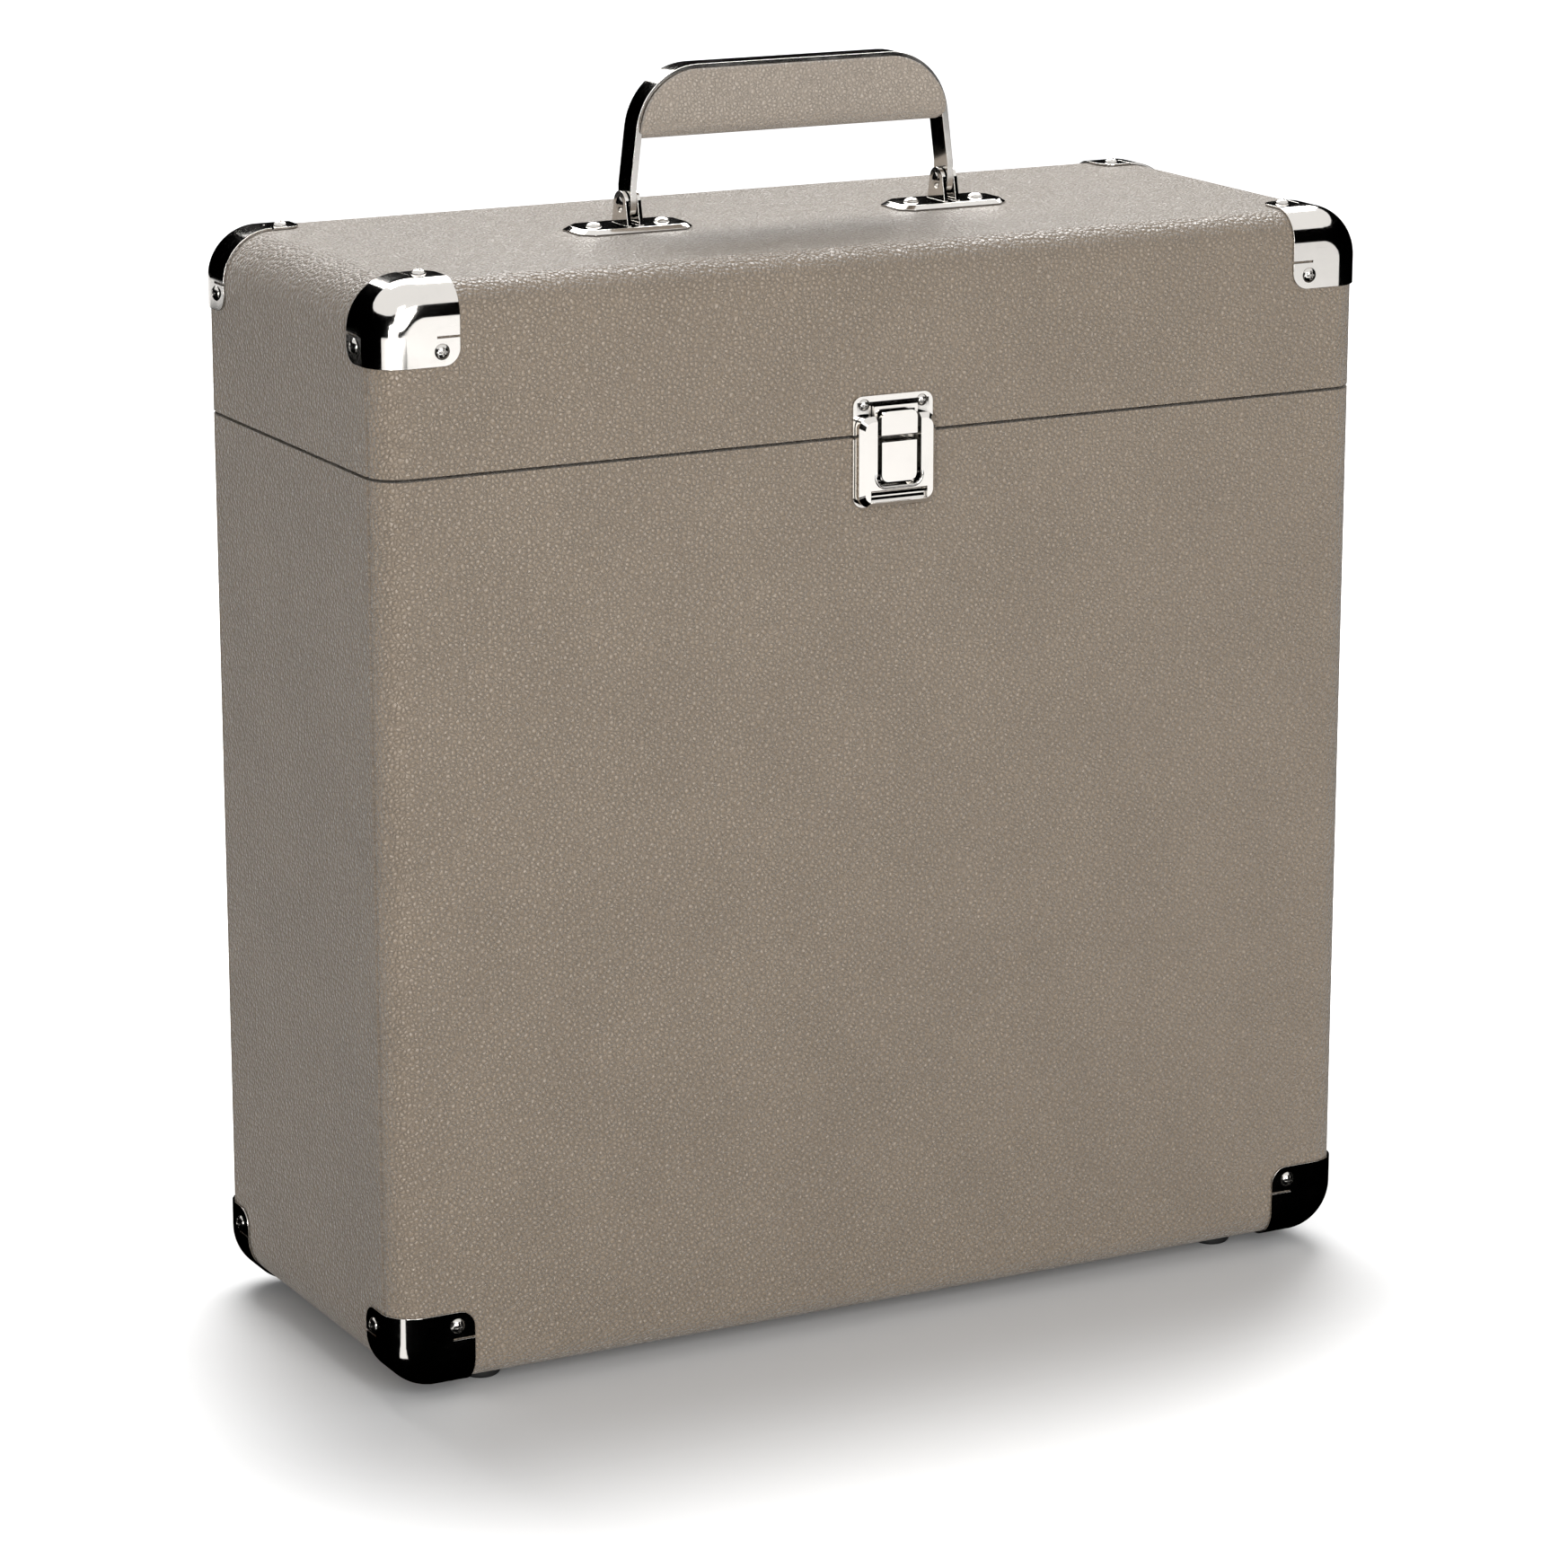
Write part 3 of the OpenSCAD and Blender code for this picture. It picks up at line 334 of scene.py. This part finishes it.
def handling_marks():
    """Faint smears and fine hairlines on polished metal."""
    name = "Handling Marks"
    if name in bpy.data.node_groups:
        return bpy.data.node_groups[name]
    group, tree, given, result = shader_group(name, {"Scale": 60.0}, ["Smear", "Hairline", "Ripple"])
    place = object_place(tree, given.outputs["Scale"])
    smear = tree.noise(place, 1.0, 4.0, 0.6)
    stretched = tree.add("ShaderNodeMapping", {"Vector": place, "Scale": (1.0, 5.0, 60.0)})
    hair = tree.noise(stretched.outputs[0], 3.0, 3.0)
    tree.feed(result.inputs["Smear"], tree.remap(smear, 0.45, 0.75, 0.0, 1.0))
    tree.feed(result.inputs["Hairline"], tree.remap(hair, 0.56, 0.66, 0.0, 1.0))
    tree.feed(result.inputs["Ripple"], tree.noise(place, 2.2, 1.0))
    return group


def edge_wear():
    """A mask of the outer edges, found from how far a rounded normal turns away."""
    name = "Edge Wear"
    if name in bpy.data.node_groups:
        return bpy.data.node_groups[name]
    group, tree, given, result = shader_group(name, {"Radius": 0.0004, "Breakup": 400.0}, ["Mask"])
    rounded = tree.add("ShaderNodeBevel", samples=4)
    tree.feed(rounded.inputs["Radius"], given.outputs["Radius"])
    true_normal = tree.add("ShaderNodeNewGeometry").outputs["Normal"]
    turn = tree.vector("DOT_PRODUCT", rounded.outputs[0], true_normal)
    mask = tree.remap(turn, 0.995, 0.86, 0.0, 1.0)
    place = object_place(tree, given.outputs["Breakup"])
    tree.feed(result.inputs["Mask"], tree.math("MULTIPLY", mask, tree.noise(place, 1.0, 2.0)))
    return group


def new_material(name):
    """A new material with its tree and its one shader, wired to the output."""
    material = bpy.data.materials.new(name)
    material.use_nodes = True
    material.node_tree.nodes.clear()
    tree = Tree(material.node_tree)
    shader = tree.add("ShaderNodeBsdfPrincipled")
    output = tree.add("ShaderNodeOutputMaterial")
    tree.feed(output.inputs["Surface"], shader.outputs[0])
    return material, tree, shader


def placed(tree, group, **values):
    """Adds a node group to a tree and sets its inputs."""
    node = tree.add("ShaderNodeGroup", node_tree=group)
    for name, value in values.items():
        tree.feed(node.inputs[name], value)
    return node


def shade(color, factor):
    """A colour made darker or lighter, with its alpha."""
    return tuple(channel * factor for channel in color) + (1.0,)


def leatherette(name, color, size, depth):
    """Embossed leatherette with painted shade in its creases, rubbed lighter at the edges."""
    if name in bpy.data.materials:
        return bpy.data.materials[name]
    material, tree, shader = new_material(name)
    grain = placed(tree, pebble_grain(), Size=size)
    wear = placed(tree, edge_wear(), Radius=0.0012, Breakup=900.0)
    broad = tree.mix(
        tree.remap(grain.outputs["Mottle"], 0.3, 0.7, 0.0, 1.0), shade(color, 0.96), shade(color, 1.04))
    # Painted shade: the colour darkens in the creases of the grain
    painted_crease_shade = tree.mix(tree.math("MULTIPLY", grain.outputs["Crease"], 0.5), broad, shade(color, 0.72))
    rubbed = tree.mix(tree.math("MULTIPLY", wear.outputs["Mask"], 0.25), painted_crease_shade, shade(color, 1.25))
    tree.feed(shader.inputs["Base Color"], rubbed)
    tree.feed(shader.inputs["Roughness"], tree.remap(grain.outputs["Crease"], 0, 1, *GRAIN_ROUGHNESS))
    bump = tree.add("ShaderNodeBump", {"Height": grain.outputs["Height"], "Distance": depth})
    bump.inputs["Strength"].default_value = 1.0
    tree.feed(shader.inputs["Normal"], bump.outputs[0])
    shader.inputs["Sheen Weight"].default_value = 0.3
    shader.inputs["Sheen Roughness"].default_value = 0.45
    return material


def plated(name, color, rough):
    """Nickel plating with smears and hairlines, with painted shade where metal stands close to metal.
    """
    if name in bpy.data.materials:
        return bpy.data.materials[name]
    material, tree, shader = new_material(name)
    marks = placed(tree, handling_marks(), Scale=60.0)
    wear = placed(tree, edge_wear(), Radius=0.0003, Breakup=1500.0)
    smeared = tree.mix(
        tree.math("MULTIPLY", marks.outputs["Smear"], 0.4), shade(color, 1.0), shade(color, 0.9))
    worn = tree.mix(tree.math("MULTIPLY", wear.outputs["Mask"], 0.5), smeared, shade(color, 1.2))
    # Painted shade: the base colour darkens towards black where ambient occlusion finds other geometry
    # close by
    occlusion = tree.add("ShaderNodeAmbientOcclusion", {"Distance": PAINTED_SHADE_REACH}, samples=4)
    painted_recess_shade = tree.remap(occlusion.outputs["AO"], 0.3, 0.8, 1.0, 0.0)
    tree.feed(shader.inputs["Base Color"], tree.mix(painted_recess_shade, worn, shade(color, 0.15)))
    shader.inputs["Metallic"].default_value = 1.0
    roughness = tree.math("ADD", rough, tree.math("MULTIPLY", marks.outputs["Smear"], 0.06))
    roughness = tree.math("ADD", roughness, tree.math("MULTIPLY", marks.outputs["Hairline"], 0.04))
    tree.feed(shader.inputs["Roughness"], roughness)
    bump = tree.add(
        "ShaderNodeBump", {"Height": marks.outputs["Ripple"], "Distance": RIPPLE_DEPTH})
    bump.inputs["Strength"].default_value = 0.25
    tree.feed(shader.inputs["Normal"], bump.outputs[0])
    return material


def fibre(name, color, cell, depth, rough, sheen):
    """Board, flock or rubber: fine fibres or pores in a dull surface."""
    if name in bpy.data.materials:
        return bpy.data.materials[name]
    material, tree, shader = new_material(name)
    place = object_place(tree, 1.0 / cell)
    pores = tree.noise(place, 1.0, 4.0, 0.6)
    patches = tree.noise(place, 0.04, 3.0)
    base = tree.mix(patches, shade(color, 0.85), shade(color, 1.15))
    tree.feed(shader.inputs["Base Color"], tree.mix(pores, shade(color, 0.7), base))
    tree.feed(shader.inputs["Roughness"], tree.remap(pores, 0.2, 0.8, rough - 0.08, rough + 0.04))
    shader.inputs["Sheen Weight"].default_value = sheen
    bump = tree.add("ShaderNodeBump", {"Height": pores, "Distance": depth})
    bump.inputs["Strength"].default_value = 0.8
    tree.feed(shader.inputs["Normal"], bump.outputs[0])
    return material


def nickel():
    s = settings()
    return plated("Polished nickel", s.nickel_color, s.nickel_rough)


def fastener_nickel():
    s = settings()
    return plated("Fastener nickel", [c * 0.88 for c in s.nickel_color], s.nickel_rough + 0.08)


# ---------------------------------------------------------------- pieces

def joined_copy(node):
    """A bmesh of a CAD node with its loose triangles joined and its flat faces merged."""
    bm = bmesh.new()
    bm.from_mesh(frame["nodes"][node].data)
    bmesh.ops.remove_doubles(bm, verts=bm.verts, dist=JOIN_DISTANCE)
    bmesh.ops.dissolve_limit(
        bm, angle_limit=FLAT_ANGLE, verts=bm.verts, edges=bm.edges, delimit={"NORMAL"})
    return bm


def soften(bm, radius):
    """Rounds every sharp edge."""
    sharp = [
        edge for edge in bm.edges
        if len(edge.link_faces) == 2 and edge.calc_face_angle(0) > SHARP_CORNER]
    bmesh.ops.bevel(
        bm, geom=sharp, offset=radius, offset_type="OFFSET", segments=2,
        profile=0.5, affect="EDGES", clamp_overlap=True, material=-1)


def make_piece(bm, name, node, material):
    """Turns a bmesh into the piece that stands for a CAD node."""
    mesh = bpy.data.meshes.new(name)
    bm.to_mesh(mesh)
    bm.free()
    mesh.materials.append(material)
    mesh.polygons.foreach_set("use_smooth", [True] * len(mesh.polygons))
    mesh.set_sharp_from_angle(angle=SHADING_ANGLE)
    piece = bpy.data.objects.new(name, mesh)
    bpy.context.scene.collection.objects.link(piece)
    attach(piece, frame["nodes"][node]["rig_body"])
    return piece


def even_shading(piece):
    """Keeps large faces evenly lit beside their small roundings."""
    modifier = piece.modifiers.new("Even shading", "WEIGHTED_NORMAL")
    modifier.keep_sharp = True
    modifier.weight = 50


def softened_piece(node, suffix, material, radius, trim=None):
    """Replaces a CAD node by its own shape with softened edges, and a trim where one is given."""
    bm = joined_copy(node)
    soften(bm, radius)
    if trim:
        trim(bm)
    piece = make_piece(bm, f"{node}_{suffix}", node, material)
    even_shading(piece)
    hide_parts(node)


def repaint(node, material):
    """Gives a CAD node's own object a finish."""
    mesh = frame["nodes"][node].data
    mesh.materials.clear()
    mesh.materials.append(material)


# ---------------------------------------------------------------- operators

class RECORDCASE_OT_covering(bpy.types.Operator):
    """Wrap the body and the lid in leatherette"""

    bl_idname = "record_case.covering"
    bl_label = "Covering"

    def execute(self, context):
        s = settings()
        skin = leatherette("Leatherette", s.leather_color, s.grain_size, s.grain_depth)
        for node in ("body_covering", "lid_covering"):
            bm = joined_copy(node)
            soften(bm, COVERING_EDGE)
            cut_wrap_gaps(bm, s.wrap_line, s.wrap_width, s.wrap_depth)
            piece = make_piece(bm, f"{node}_wrapped", node, skin)
            even_shading(piece)
            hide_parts(node)
        return {"FINISHED"}


def cut_wrap_gaps(bm, line, width, depth):
    """Sinks a fine gap into both sides, where the wrapped front and back leatherette ends."""
    low = CASE_LOW.z + COVERED_BY_CORNER
    high = CASE_HIGH.z - COVERED_BY_CORNER
    slack = 0.1 * MM
    side = CASE_HIGH.x - 0.4 * MM
    lines = [CASE_LOW.y + line, CASE_HIGH.y - line]
    for y in lines:
        for offset in (-width / 2, -width / 5, width / 5, width / 2):
            bisect(bm, (0, y + offset, 0), (0, 1, 0))
    for z in (low - MM, low, high, high + MM):
        bisect(bm, (0, 0, z), (0, 0, 1))
    for vert in bm.verts:
        in_gap = any(abs(vert.co.y - y) < width / 3 for y in lines)
        if in_gap and low - slack < vert.co.z < high + slack and abs(vert.co.x) > side:
            vert.co.x -= math.copysign(depth, vert.co.x)


def bisect(bm, place, normal):
    """Cuts new edges into a bmesh where a plane crosses it."""
    bmesh.ops.bisect_plane(
        bm, geom=bm.verts[:] + bm.edges[:] + bm.faces[:], plane_co=place, plane_no=normal,
        dist=0.001 * MM)


class RECORDCASE_OT_inside(bpy.types.Operator):
    """Finish the board and the lining"""

    bl_idname = "record_case.inside"
    bl_label = "Inside"

    def execute(self, context):
        s = settings()
        board = fibre(
            "Fibre board", s.board_color, cell=0.6 * MM, depth=0.05 * MM, rough=0.85, sheen=0.0)
        flock = fibre(
            "Flock lining", s.lining_color, cell=0.4 * MM, depth=0.12 * MM, rough=0.95, sheen=0.35)
        for node in ("body_board", "lid_board"):
            repaint(node, board)
        for node in ("body_lining", "lid_lining"):
            repaint(node, flock)
        return {"FINISHED"}


class RECORDCASE_OT_corners(bpy.types.Operator):
    """Plate the eight corner protectors"""

    bl_idname = "record_case.corners"
    bl_label = "Corners"

    def execute(self, context):
        for node in CORNERS:
            softened_piece(node, "plated", nickel(), settings().edge_radius)
        return {"FINISHED"}


class RECORDCASE_OT_fasteners(bpy.types.Operator):
    """Plate the screws, the rivets and the pins"""

    bl_idname = "record_case.fasteners"
    bl_label = "Fasteners"

    def execute(self, context):
        for node in FASTENERS:
            softened_piece(node, "plated", fastener_nickel(), FASTENER_EDGE)
        return {"FINISHED"}


class RECORDCASE_OT_hinges(bpy.types.Operator):
    """Plate the leaves of the two rear hinges"""

    bl_idname = "record_case.hinges"
    bl_label = "Hinges"

    def execute(self, context):
        for node in HINGES:
            softened_piece(node, "plated", nickel(), HINGE_EDGE)
        return {"FINISHED"}


class RECORDCASE_OT_latch(bpy.types.Operator):
    """Plate the four pressed pieces of the latch"""

    bl_idname = "record_case.latch"
    bl_label = "Latch"

    def execute(self, context):
        for node in LATCH:
            lip = rolled_lip if node == "latch_draw_ring" else None
            softened_piece(node, "plated", nickel(), settings().edge_radius, trim=lip)
        return {"FINISHED"}


def rolled_lip(bm):
    """Rolls a round lip along the foot of the window in the draw ring."""
    low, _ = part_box("latch_draw_ring")
    reach = WINDOW_HALF + LIP_RADIUS
    foot = WINDOW_FOOT - LIP_RADIUS
    corner = WINDOW_CORNER + LIP_RADIUS
    path = [(-reach, foot + corner + lift) for lift in LIP_RISE]
    for step in range(LIP_STEPS + 1):
        turn = math.radians(90) * step / LIP_STEPS
        path.append((
            corner - reach - corner * math.cos(turn), foot + corner - corner * math.sin(turn)))
    path += [(-x, z) for x, z in reversed(path)]
    rings = []
    last = len(path) - 1
    out = Vector((0, -1, 0))
    for index, (x, z) in enumerate(path):
        before, after = path[max(index - 1, 0)], path[min(index + 1, last)]
        along = Vector((after[0] - before[0], 0, after[1] - before[1])).normalized()
        across = along.cross(out)
        radius = LIP_RADIUS * min(1.0, 0.2 + 0.5 * min(index, last - index))
        rings.append([
            bm.verts.new(
                Vector((x, low.y + LIP_SUNK, z))
                + across * radius * math.cos(math.tau * side / LIP_SIDES)
                + out * radius * math.sin(math.tau * side / LIP_SIDES))
            for side in range(LIP_SIDES)])
    faces = [bm.faces.new(rings[0]), bm.faces.new(rings[-1])]
    for one, other in zip(rings, rings[1:]):
        for side in range(LIP_SIDES):
            up = (side + 1) % LIP_SIDES
            faces.append(bm.faces.new((one[side], one[up], other[up], other[side])))
    bmesh.ops.recalc_face_normals(bm, faces=faces)


class RECORDCASE_OT_handle(bpy.types.Operator):
    """Plate the strap and the brackets of the handle"""

    bl_idname = "record_case.handle"
    bl_label = "Handle"

    def execute(self, context):
        for node in HANDLE:
            softened_piece(node, "plated", nickel(), settings().edge_radius)
        return {"FINISHED"}


class RECORDCASE_OT_grip(bpy.types.Operator):
    """Shape the padded grip and wrap it in leatherette"""

    bl_idname = "record_case.grip"
    bl_label = "Grip"

    def execute(self, context):
        s = settings()
        bm = joined_copy("handle_grip_cover")
        keep_outer_shell(bm)
        skin = leatherette(
            "Grip leatherette", s.grip_color, s.grain_size * 0.85, s.grain_depth * 0.8)
        piece = make_piece(bm, "handle_grip_padded", "handle_grip_cover", skin)
        remesh = piece.modifiers.new("Cells", "REMESH")
        remesh.mode = "VOXEL"
        remesh.voxel_size = s.grip_voxel
        remesh.use_smooth_shade = True
        smooth = piece.modifiers.new("Soft padding", "SMOOTH")
        smooth.factor = 0.5
        smooth.iterations = s.grip_rounds
        bake_modifiers(piece)
        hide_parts("handle_grip_cover", "handle_grip_core")
        return {"FINISHED"}


def keep_outer_shell(bm):
    """Deletes every closed shell but the one that reaches furthest."""
    shells = []
    left = set(bm.verts)
    while left:
        shell = set()
        queue = [left.pop()]
        while queue:
            vert = queue.pop()
            shell.add(vert)
            for edge in vert.link_edges:
                other = edge.other_vert(vert)
                if other in left:
                    left.discard(other)
                    queue.append(other)
        shells.append(shell)
    if len(shells) < 2:
        raise RuntimeError("the grip has no inner shell to take out")
    outer = max(shells, key=lambda shell: max(vert.co.x for vert in shell))
    inner = [vert for shell in shells if shell is not outer for vert in shell]
    bmesh.ops.delete(bm, geom=inner, context="VERTS")


def bake_modifiers(piece):
    """Applies the modifiers, so that the mesh holds the finished shape."""
    shaped = bpy.data.meshes.new_from_object(
        piece.evaluated_get(bpy.context.evaluated_depsgraph_get()))
    piece.modifiers.clear()
    piece.data = shaped
    shaped.polygons.foreach_set("use_smooth", [True] * len(shaped.polygons))


class RECORDCASE_OT_feet(bpy.types.Operator):
    """Mould the four rubber feet"""

    bl_idname = "record_case.feet"
    bl_label = "Feet"

    def execute(self, context):
        rubber = fibre(
            "Moulded rubber", settings().rubber_color, cell=0.5 * MM, depth=0.03 * MM, rough=0.6,
            sheen=0.0)
        for node in FEET:
            softened_piece(node, "moulded", rubber, FOOT_EDGE)
        return {"FINISHED"}


class RECORDCASE_OT_stage(bpy.types.Operator):
    """Set the floor, the lights, the room and the camera"""

    bl_idname = "record_case.stage"
    bl_label = "Stage"

    def execute(self, context):
        s = settings()
        scene = context.scene
        scene.view_settings.view_transform = "Standard"
        make_floor()
        light_room(s.ambient)
        middle = (CASE_LOW + CASE_HIGH) / 2
        softbox("Overhead softbox", *OVERHEAD_BOX, middle, s.key_power)
        softbox("Front softbox", *FRONT_BOX, middle, s.fill_power)
        softbox("Side softbox", *SIDE_BOX, middle, s.side_power)
        set_flags()
        place_camera(scene)
        return {"FINISHED"}


def distance_from_case(tree):
    """Distance along the floor from the case, or from a little inside its left and right, which shapes
    the painted shadow round it.
    """
    under = (CASE_HIGH.x - PAINTED_SHADE_UNDER, CASE_HIGH.y, 0)
    place = tree.add("ShaderNodeTexCoord").outputs["Object"]
    outside = tree.vector("SUBTRACT", tree.vector("ABSOLUTE", place), under)
    return tree.vector("LENGTH", tree.vector("MAXIMUM", outside, (0, 0, 0)))


def make_floor():
    """A pale floor with a painted shadow round the case, where its glow fades out, glowing white past
    it.
    """
    bm = bmesh.new()
    bmesh.ops.create_grid(bm, x_segments=2, y_segments=2, size=FLOOR_HALF)
    mesh = bpy.data.meshes.new("Studio floor")
    bm.to_mesh(mesh)
    bm.free()
    material, tree, shader = new_material("Studio floor")
    shader.inputs["Base Color"].default_value = (0.8, 0.8, 0.8, 1.0)
    shader.inputs["Roughness"].default_value = 0.5
    path = tree.add("ShaderNodeLightPath")
    seen = tree.math("MAXIMUM", path.outputs["Is Camera Ray"], path.outputs["Is Transmission Ray"])
    mirrored = tree.math("MULTIPLY", path.outputs["Is Glossy Ray"], GLOW_IN_REFLECTIONS)
    seen = tree.math("MAXIMUM", seen, mirrored)
    # Painted shadow: the glow fades out near the case, so the floor is darker round it
    glow_past_painted_shade = tree.remap(distance_from_case(tree), GLOW_FROM, GLOW_FULL, 0.0, FLOOR_GLOW)
    glow = tree.add("ShaderNodeEmission", {"Strength": tree.math("MULTIPLY", seen, glow_past_painted_shade)})
    both = tree.add("ShaderNodeAddShader")
    tree.feed(both.inputs[0], shader.outputs[0])
    tree.feed(both.inputs[1], glow.outputs[0])
    output = next(n for n in material.node_tree.nodes if n.type == "OUTPUT_MATERIAL")
    tree.feed(output.inputs["Surface"], both.outputs[0])
    mesh.materials.append(material)
    floor = bpy.data.objects.new("Studio floor", mesh)
    bpy.context.scene.collection.objects.link(floor)


def set_flags():
    """Stands black and white cards round the case, which only reflections show."""
    bm = bmesh.new()
    bmesh.ops.create_cone(
        bm, cap_ends=False, segments=ROUND_FLAG_SIDES, radius1=ROUND_FLAG_RADIUS,
        radius2=ROUND_FLAG_RADIUS, depth=ROUND_FLAG_HEIGHT)
    bmesh.ops.reverse_faces(bm, faces=bm.faces)
    bmesh.ops.translate(bm, verts=bm.verts, vec=(0, 0, ROUND_FLAG_HEIGHT / 2))
    card("Round flag", bm, card_material("Black flag"))
    for name, kind, place, size, tilt, turn, taper in CARDS:
        flat_card(name, card_material(kind), place, size, tilt, turn, taper)


def flat_card(name, material, place, size, tilt, turn, taper):
    """Adds an oblong card, which a taper below one narrows at the end of its length."""
    bm = bmesh.new()
    bmesh.ops.create_grid(bm, x_segments=1, y_segments=1, size=0.5)
    bmesh.ops.scale(bm, verts=[vert for vert in bm.verts if vert.co.x > 0], vec=(1, taper, 1))
    bmesh.ops.scale(bm, verts=bm.verts, vec=(size[0], size[1], 1))
    tilted = Matrix.Rotation(math.radians(tilt), 4, "X")
    turned = Matrix.Rotation(math.radians(turn), 4, "Z") @ tilted
    bmesh.ops.transform(bm, matrix=Matrix.Translation(place) @ turned, verts=bm.verts)
    card(name, bm, material)


def card(name, bm, material):
    """Adds a card that only mirror-like surfaces see, and that casts no shadow."""
    mesh = bpy.data.meshes.new(name)
    bm.to_mesh(mesh)
    bm.free()
    mesh.materials.append(material)
    piece = bpy.data.objects.new(name, mesh)
    bpy.context.scene.collection.objects.link(piece)
    piece.visible_camera = piece.visible_diffuse = piece.visible_shadow = False
    piece.visible_transmission = piece.visible_volume_scatter = False


def card_material(kind):
    """An even glow on the front of a card, with a clear back."""
    if kind in bpy.data.materials:
        return bpy.data.materials[kind]
    material = bpy.data.materials.new(kind)
    material.use_nodes = True
    material.node_tree.nodes.clear()
    tree = Tree(material.node_tree)
    glow = tree.add("ShaderNodeEmission", {"Strength": CARD_GLOW[kind]})
    clear = tree.add("ShaderNodeBsdfTransparent")
    back = tree.add("ShaderNodeNewGeometry").outputs["Backfacing"]
    both = tree.add("ShaderNodeMixShader", {"Fac": back})
    tree.feed(both.inputs[1], glow.outputs[0])
    tree.feed(both.inputs[2], clear.outputs[0])
    output = tree.add("ShaderNodeOutputMaterial")
    tree.feed(output.inputs["Surface"], both.outputs[0])
    return material


def light_room(ambient):
    """A white room for the camera, metal and glass, which lights the case at a plain level."""
    world = bpy.data.worlds.new("Studio room")
    world.use_nodes = True
    world.node_tree.nodes.clear()
    tree = Tree(world.node_tree)
    path = tree.add("ShaderNodeLightPath")
    seen = tree.math("MAXIMUM", path.outputs["Is Camera Ray"], path.outputs["Is Glossy Ray"])
    seen = tree.math("MAXIMUM", seen, path.outputs["Is Transmission Ray"])
    strength = tree.add("ShaderNodeMix", data_type="FLOAT")
    tree.feed(strength.inputs[0], seen)
    strength.inputs[2].default_value = ambient
    strength.inputs[3].default_value = 1.0
    background = tree.add("ShaderNodeBackground", {"Color": (1.0, 1.0, 1.0, 1.0)})
    tree.feed(background.inputs["Strength"], strength.outputs[0])
    output = tree.add("ShaderNodeOutputWorld")
    tree.feed(output.inputs["Surface"], background.outputs[0])
    bpy.context.scene.world = world


def softbox(name, place, width, height, target, power):
    """Adds an oblong lamp that faces a target."""
    light = bpy.data.lights.new(name, "AREA")
    light.shape = "RECTANGLE"
    light.size, light.size_y = width, height
    light.energy = power
    lamp = bpy.data.objects.new(name, light)
    lamp.location = place
    lamp.rotation_euler = (target - place).to_track_quat("-Z", "Y").to_euler()
    lamp.visible_camera = False
    bpy.context.scene.collection.objects.link(lamp)


def place_camera(scene):
    """Sets the scene's camera."""
    data = bpy.data.cameras.new("Case camera")
    data.lens = CAMERA_LENS
    data.sensor_width = SENSOR
    data.clip_start, data.clip_end = 0.05, 60.0
    camera = bpy.data.objects.new("Case camera", data)
    ahead = Vector((
        math.sin(CAMERA_YAW) * math.cos(CAMERA_PITCH),
        math.cos(CAMERA_YAW) * math.cos(CAMERA_PITCH),
        -math.sin(CAMERA_PITCH)))
    camera.location = CAMERA_PLACE
    camera.rotation_euler = ahead.to_track_quat("-Z", "Y").to_euler()
    scene.collection.objects.link(camera)
    scene.camera = camera


OPERATORS = [
    RECORDCASE_OT_covering, RECORDCASE_OT_inside, RECORDCASE_OT_corners,
    RECORDCASE_OT_fasteners, RECORDCASE_OT_hinges, RECORDCASE_OT_latch, RECORDCASE_OT_handle,
    RECORDCASE_OT_grip, RECORDCASE_OT_feet, RECORDCASE_OT_stage,
]


class VIEW3D_PT_record_case(bpy.types.Panel):
    """Lists the pieces of the record case and their settings"""

    bl_label = "Record Case"
    bl_space_type = "VIEW_3D"
    bl_region_type = "UI"
    bl_category = "Record Case"

    def draw(self, context):
        column = self.layout.column()
        for name in CaseSettings.__annotations__:
            column.prop(context.scene.record_case, name)
        for operator in OPERATORS:
            column.operator(operator.bl_idname)


CLASSES = [CaseSettings, *OPERATORS, VIEW3D_PT_record_case]


def register():
    for cls in CLASSES:
        bpy.utils.register_class(cls)
    bpy.types.Scene.record_case = PointerProperty(type=CaseSettings)


def unregister():
    del bpy.types.Scene.record_case
    for cls in reversed(CLASSES):
        bpy.utils.unregister_class(cls)


def main():
    register()
    bpy.ops.record_case.covering()
    bpy.ops.record_case.inside()
    bpy.ops.record_case.corners()
    bpy.ops.record_case.fasteners()
    bpy.ops.record_case.hinges()
    bpy.ops.record_case.latch()
    bpy.ops.record_case.handle()
    bpy.ops.record_case.grip()
    bpy.ops.record_case.feet()
    bpy.ops.record_case.stage()


if __name__ == "__main__":
    main()
